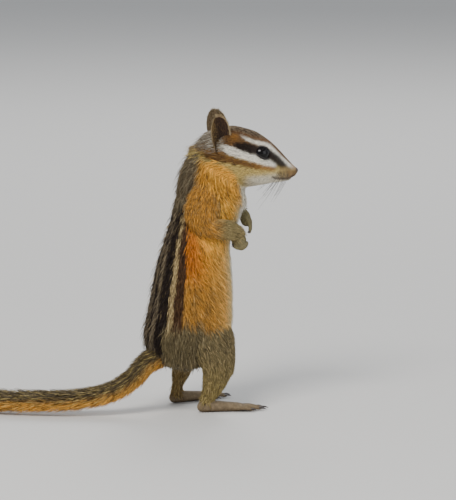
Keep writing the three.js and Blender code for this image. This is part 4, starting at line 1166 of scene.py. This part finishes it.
# The ears' own hair: short and grizzled behind, sparse and dark inside with gold to the rear,
# and a pale fringe along the rim. It is made as the coat is, with much smaller tufts.
for side, hand in (("left", 1), ("right", -1)):
    points, faces, depth, lean, rearward = ears[hand]
    normals = normals_of(points, faces)
    edge_share = np.exp(-((depth[faces].mean(1) - 0.03) / 0.10) ** 2)
    inner = depth[faces].mean(1) > 0
    want = triangle_areas(points, faces) * np.where(inner, 9.0 + 14 * edge_share, 18.0)
    want = want * 1.0
    owner = np.repeat(np.arange(len(want)), np.floor(want + rng.random(len(want))).astype(int))
    weights = rng.dirichlet([1, 1, 1], len(owner))[..., None]
    tri = faces[owner]
    spot_of, normal_of = (points[tri] * weights).sum(1), unit((normals[tri] * weights).sum(1))
    keep_ear = spot_of[:, 2] > 100.6
    spot_of, normal_of, tri = spot_of[keep_ear], normal_of[keep_ear], tri[keep_ear]
    shade = depth[tri].mean(1)
    tone = rng.random(len(tri))
    behind = mix(mix(GRIZZLE, DARK, 0.45), mix(GREY, BROWN, 0.3), (tone > 0.75) * 0.9)
    # Toward the ear's foot the inside hair is darker, with fewer pale and gold hairs: painted shade low in
    # the cup.
    low_ear = 1 - smooth(spot_of[:, 2], 101, 110)
    within = mix(mix(DARK, BLACK, 0.5), mix(BROWN, GRIZZLE, 0.3), (tone > 0.7) * (0.6 - 0.5 * low_ear))
    gold = smooth(rearward[tri].mean(1), -0.6, 2.2) * (1 - 0.7 * low_ear) * (0.4 + 0.45 * (tone > 0.4))
    within = mix(within, tint(204, 168, 104), gold)
    fringe = mix(GREY, CREAM, 0.5)
    front_colour = np.where((shade < 0.17)[:, None], fringe, within)
    hair_colour = np.where((shade < -0.2)[:, None], behind, front_colour)
    lie = unit(lean + rng.normal(0, 0.22, (len(tri), 3)))
    lie = unit(lie - normal_of * (lie * normal_of).sum(1, keepdims=True))
    count = len(tri)
    ear_chart = chart_place(np.stack([np.clip((spot_of[:, 2] - 100) / 15, 0, 1),
                                      np.clip((spot_of @ HEAD_SIDE) / 12 * 0.5 + 0.5, 0, 1),
                                      np.full(count, 8.0 if hand > 0 else 9.0)], -1))
    tufts("coat_ear_" + side, spot_of, normal_of, lie, rng.uniform(0.9, 1.5, count),
          rng.uniform(0.045, 0.075, count), rng.uniform(0.15, 0.4, count), hair_colour, ear_chart,
          "head_coat", fur, sink=0.08)

# The whiskers: tapered hairs from the pads, the brow and the cheek, swept back and a little down.
# Each path is turned into a round tapering hair by a node tree.
whisker_material = new_material("whisker", {"Base Color": (*tint(38, 30, 26), 1), "Roughness": 0.35})[0]
paths, path_edges = [], []
for hand in (1, -1):
    starts = [(27.2 + 1.25 * k + 0.3 * (row % 2), 91.2 - 0.75 * row, 9 + 3.2 * (4 - k) * 0.8 + 1.2 * row)
              for row in range(4) for k in range(4)]
    starts += [(22.6, 103.0, 8.0), (23.6, 102.4, 7.0), (14.5, 93.6, 8.5), (16.2, 92.9, 8.0)]
    for reach_at, level_at, long in starts:
        wide_at = np.interp(reach_at, HEAD[:, 0], HEAD[:, 4]) * 0.92
        base = at_head(reach_at, hand * wide_at, level_at)
        out = unit(HEAD_SIDE * hand * 1.0 - heading(HEAD_YAW) * (0.15 + 0.35 * rng.random())
                   - UP * (0.15 + 0.5 * rng.random()))
        bend = unit(-heading(HEAD_YAW) * 0.8 - UP * 0.7)
        long = min(long, 15.0) * rng.uniform(0.85, 1.1)
        first = len(paths)
        for k in range(9):
            t = k / 8
            paths.append(base - out * 0.5 + out * long * t + bend * long * 0.30 * t * t)
            if k:
                path_edges.append((first + k - 1, first + k))
path_mesh = bpy.data.meshes.new("whisker_paths")
path_mesh.from_pydata([tuple((p + SHIFT) * 0.001) for p in paths], path_edges, [])
holder = put_in_scene("whisker_paths", path_mesh)
ROOT_RADIUS, TIP_SHARE = 0.00007, 0.25  # metres, and the tip's share of it
hairs, given, made = new_group("taper_hairs", "GeometryNodeTree", {
    "Geometry": "Geometry", "Root radius": "Float", "Tip share": "Float"}, {"Geometry": "Geometry"})
to_curve = add_node(hairs, "GeometryNodeMeshToCurve")
factor = add_node(hairs, "GeometryNodeSplineParameter")
taper = add_node(hairs, "ShaderNodeMapRange")
tip_radius = add_node(hairs, "ShaderNodeMath", {}, "MULTIPLY")
set_radius = add_node(hairs, "GeometryNodeSetCurveRadius")
circle = add_node(hairs, "GeometryNodeCurvePrimitiveCircle", {"Resolution": 6, "Radius": 1.0})
round_hair = add_node(hairs, "GeometryNodeCurveToMesh", {"Fill Caps": True})
coloured = add_node(hairs, "GeometryNodeSetMaterial", {"Material": whisker_material})
wire(hairs, (given.outputs["Geometry"], to_curve.inputs["Mesh"]),
     (factor.outputs["Factor"], taper.inputs["Value"]),
     (given.outputs["Root radius"], tip_radius.inputs[0]),
     (given.outputs["Tip share"], tip_radius.inputs[1]),
     (given.outputs["Root radius"], taper.inputs["To Min"]),
     (tip_radius.outputs[0], taper.inputs["To Max"]),
     (to_curve.outputs["Curve"], set_radius.inputs["Curve"]),
     (taper.outputs["Result"], set_radius.inputs["Radius"]),
     (set_radius.outputs["Curve"], round_hair.inputs["Curve"]),
     (circle.outputs["Curve"], round_hair.inputs["Profile Curve"]),
     (taper.outputs["Result"], round_hair.inputs["Scale"]),
     (round_hair.outputs["Mesh"], coloured.inputs["Geometry"]),
     (coloured.outputs["Geometry"], made.inputs["Geometry"]))
grow = holder.modifiers.new("hairs", "NODES")
grow.node_group = hairs
for item in hairs.interface.items_tree:
    if item.in_out == "INPUT" and item.name in ("Root radius", "Tip share"):
        grow[item.identifier] = {"Root radius": ROOT_RADIUS, "Tip share": TIP_SHARE}[item.name]
whiskers = put_in_scene("whiskers", settle(holder))
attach(whiskers, "root")

# The claws: dark, curved horn on each finger and toe, tapered to a point.
# All are one piece, each with its foot sunk in the end of its digit.
claw_material = new_material("claw", {"Base Color": (*tint(46, 36, 32), 1), "Roughness": 0.35})[0]
surfaces.clear()
for rows_of_claw in claws:
    limb(rows_of_claw, 10, 8, 0.0, [0.3, 0.2, 1], "hand", 5, sharp=True)
claw = finish_piece("claws", *joined(surfaces), "paw_skin")
claw.data.materials.append(claw_material)

# The studio: a plain pale floor, three soft lights in front, beside and behind, and the photo's view.
# None of it belongs to the part.
floor_mesh = bpy.data.meshes.new("floor")
floor_mesh.from_pydata([(-3, -3, 0), (3, -3, 0), (3, 3, 0), (-3, 3, 0)], [], [(0, 1, 2, 3)])
floor = put_in_scene("floor", floor_mesh)
floor_material = new_material("floor", {"Base Color": (0.62, 0.61, 0.59, 1), "Roughness": 0.9})[0]
floor.data.materials.append(floor_material)

world = bpy.data.worlds.new("studio")
world.use_nodes = True
world.node_tree.nodes["Background"].inputs["Color"].default_value = (0.80, 0.84, 0.90, 1)
world.node_tree.nodes["Background"].inputs["Strength"].default_value = 0.6
bpy.context.scene.world = world


def area_light(name, place, target, size, power, colour):
    data = bpy.data.lights.new(name, "AREA")
    data.size = size
    data.energy = power
    data.color = colour
    light = put_in_scene(name, data)
    light.location = place
    direction = np.array(target) - np.array(place)
    light.rotation_euler = Vector(direction).to_track_quat("-Z", "Y").to_euler()


area_light("key", (-0.35, -0.75, 0.95), (0, 0, 0.06), 0.5, 14, (1.0, 0.97, 0.92))
area_light("fill", (0.8, -0.6, 0.35), (0, 0, 0.05), 0.8, 4, (0.95, 0.97, 1.0))
area_light("back", (0.1, 0.9, 0.8), (0, 0, 0.06), 0.6, 6, (1, 1, 1))

ELEVATION = math.radians(9)
DISTANCE, VIEW_WIDTH = 1.55, 0.190  # metres
VIEW_MIDDLE = (10.6, 60.2)  # millimetres along and above the floor
camera_data = bpy.data.cameras.new("camera")
camera = put_in_scene("camera", camera_data)
bpy.context.scene.camera = camera
camera_data.lens = camera_data.sensor_width * DISTANCE / VIEW_WIDTH
middle = (np.array([VIEW_MIDDLE[0], 0.0, VIEW_MIDDLE[1] / math.cos(ELEVATION)]) + SHIFT) * 0.001
camera.location = middle + DISTANCE * np.array([0, -math.cos(ELEVATION), math.sin(ELEVATION)])
camera.rotation_euler = (math.pi / 2 - ELEVATION, 0, 0)
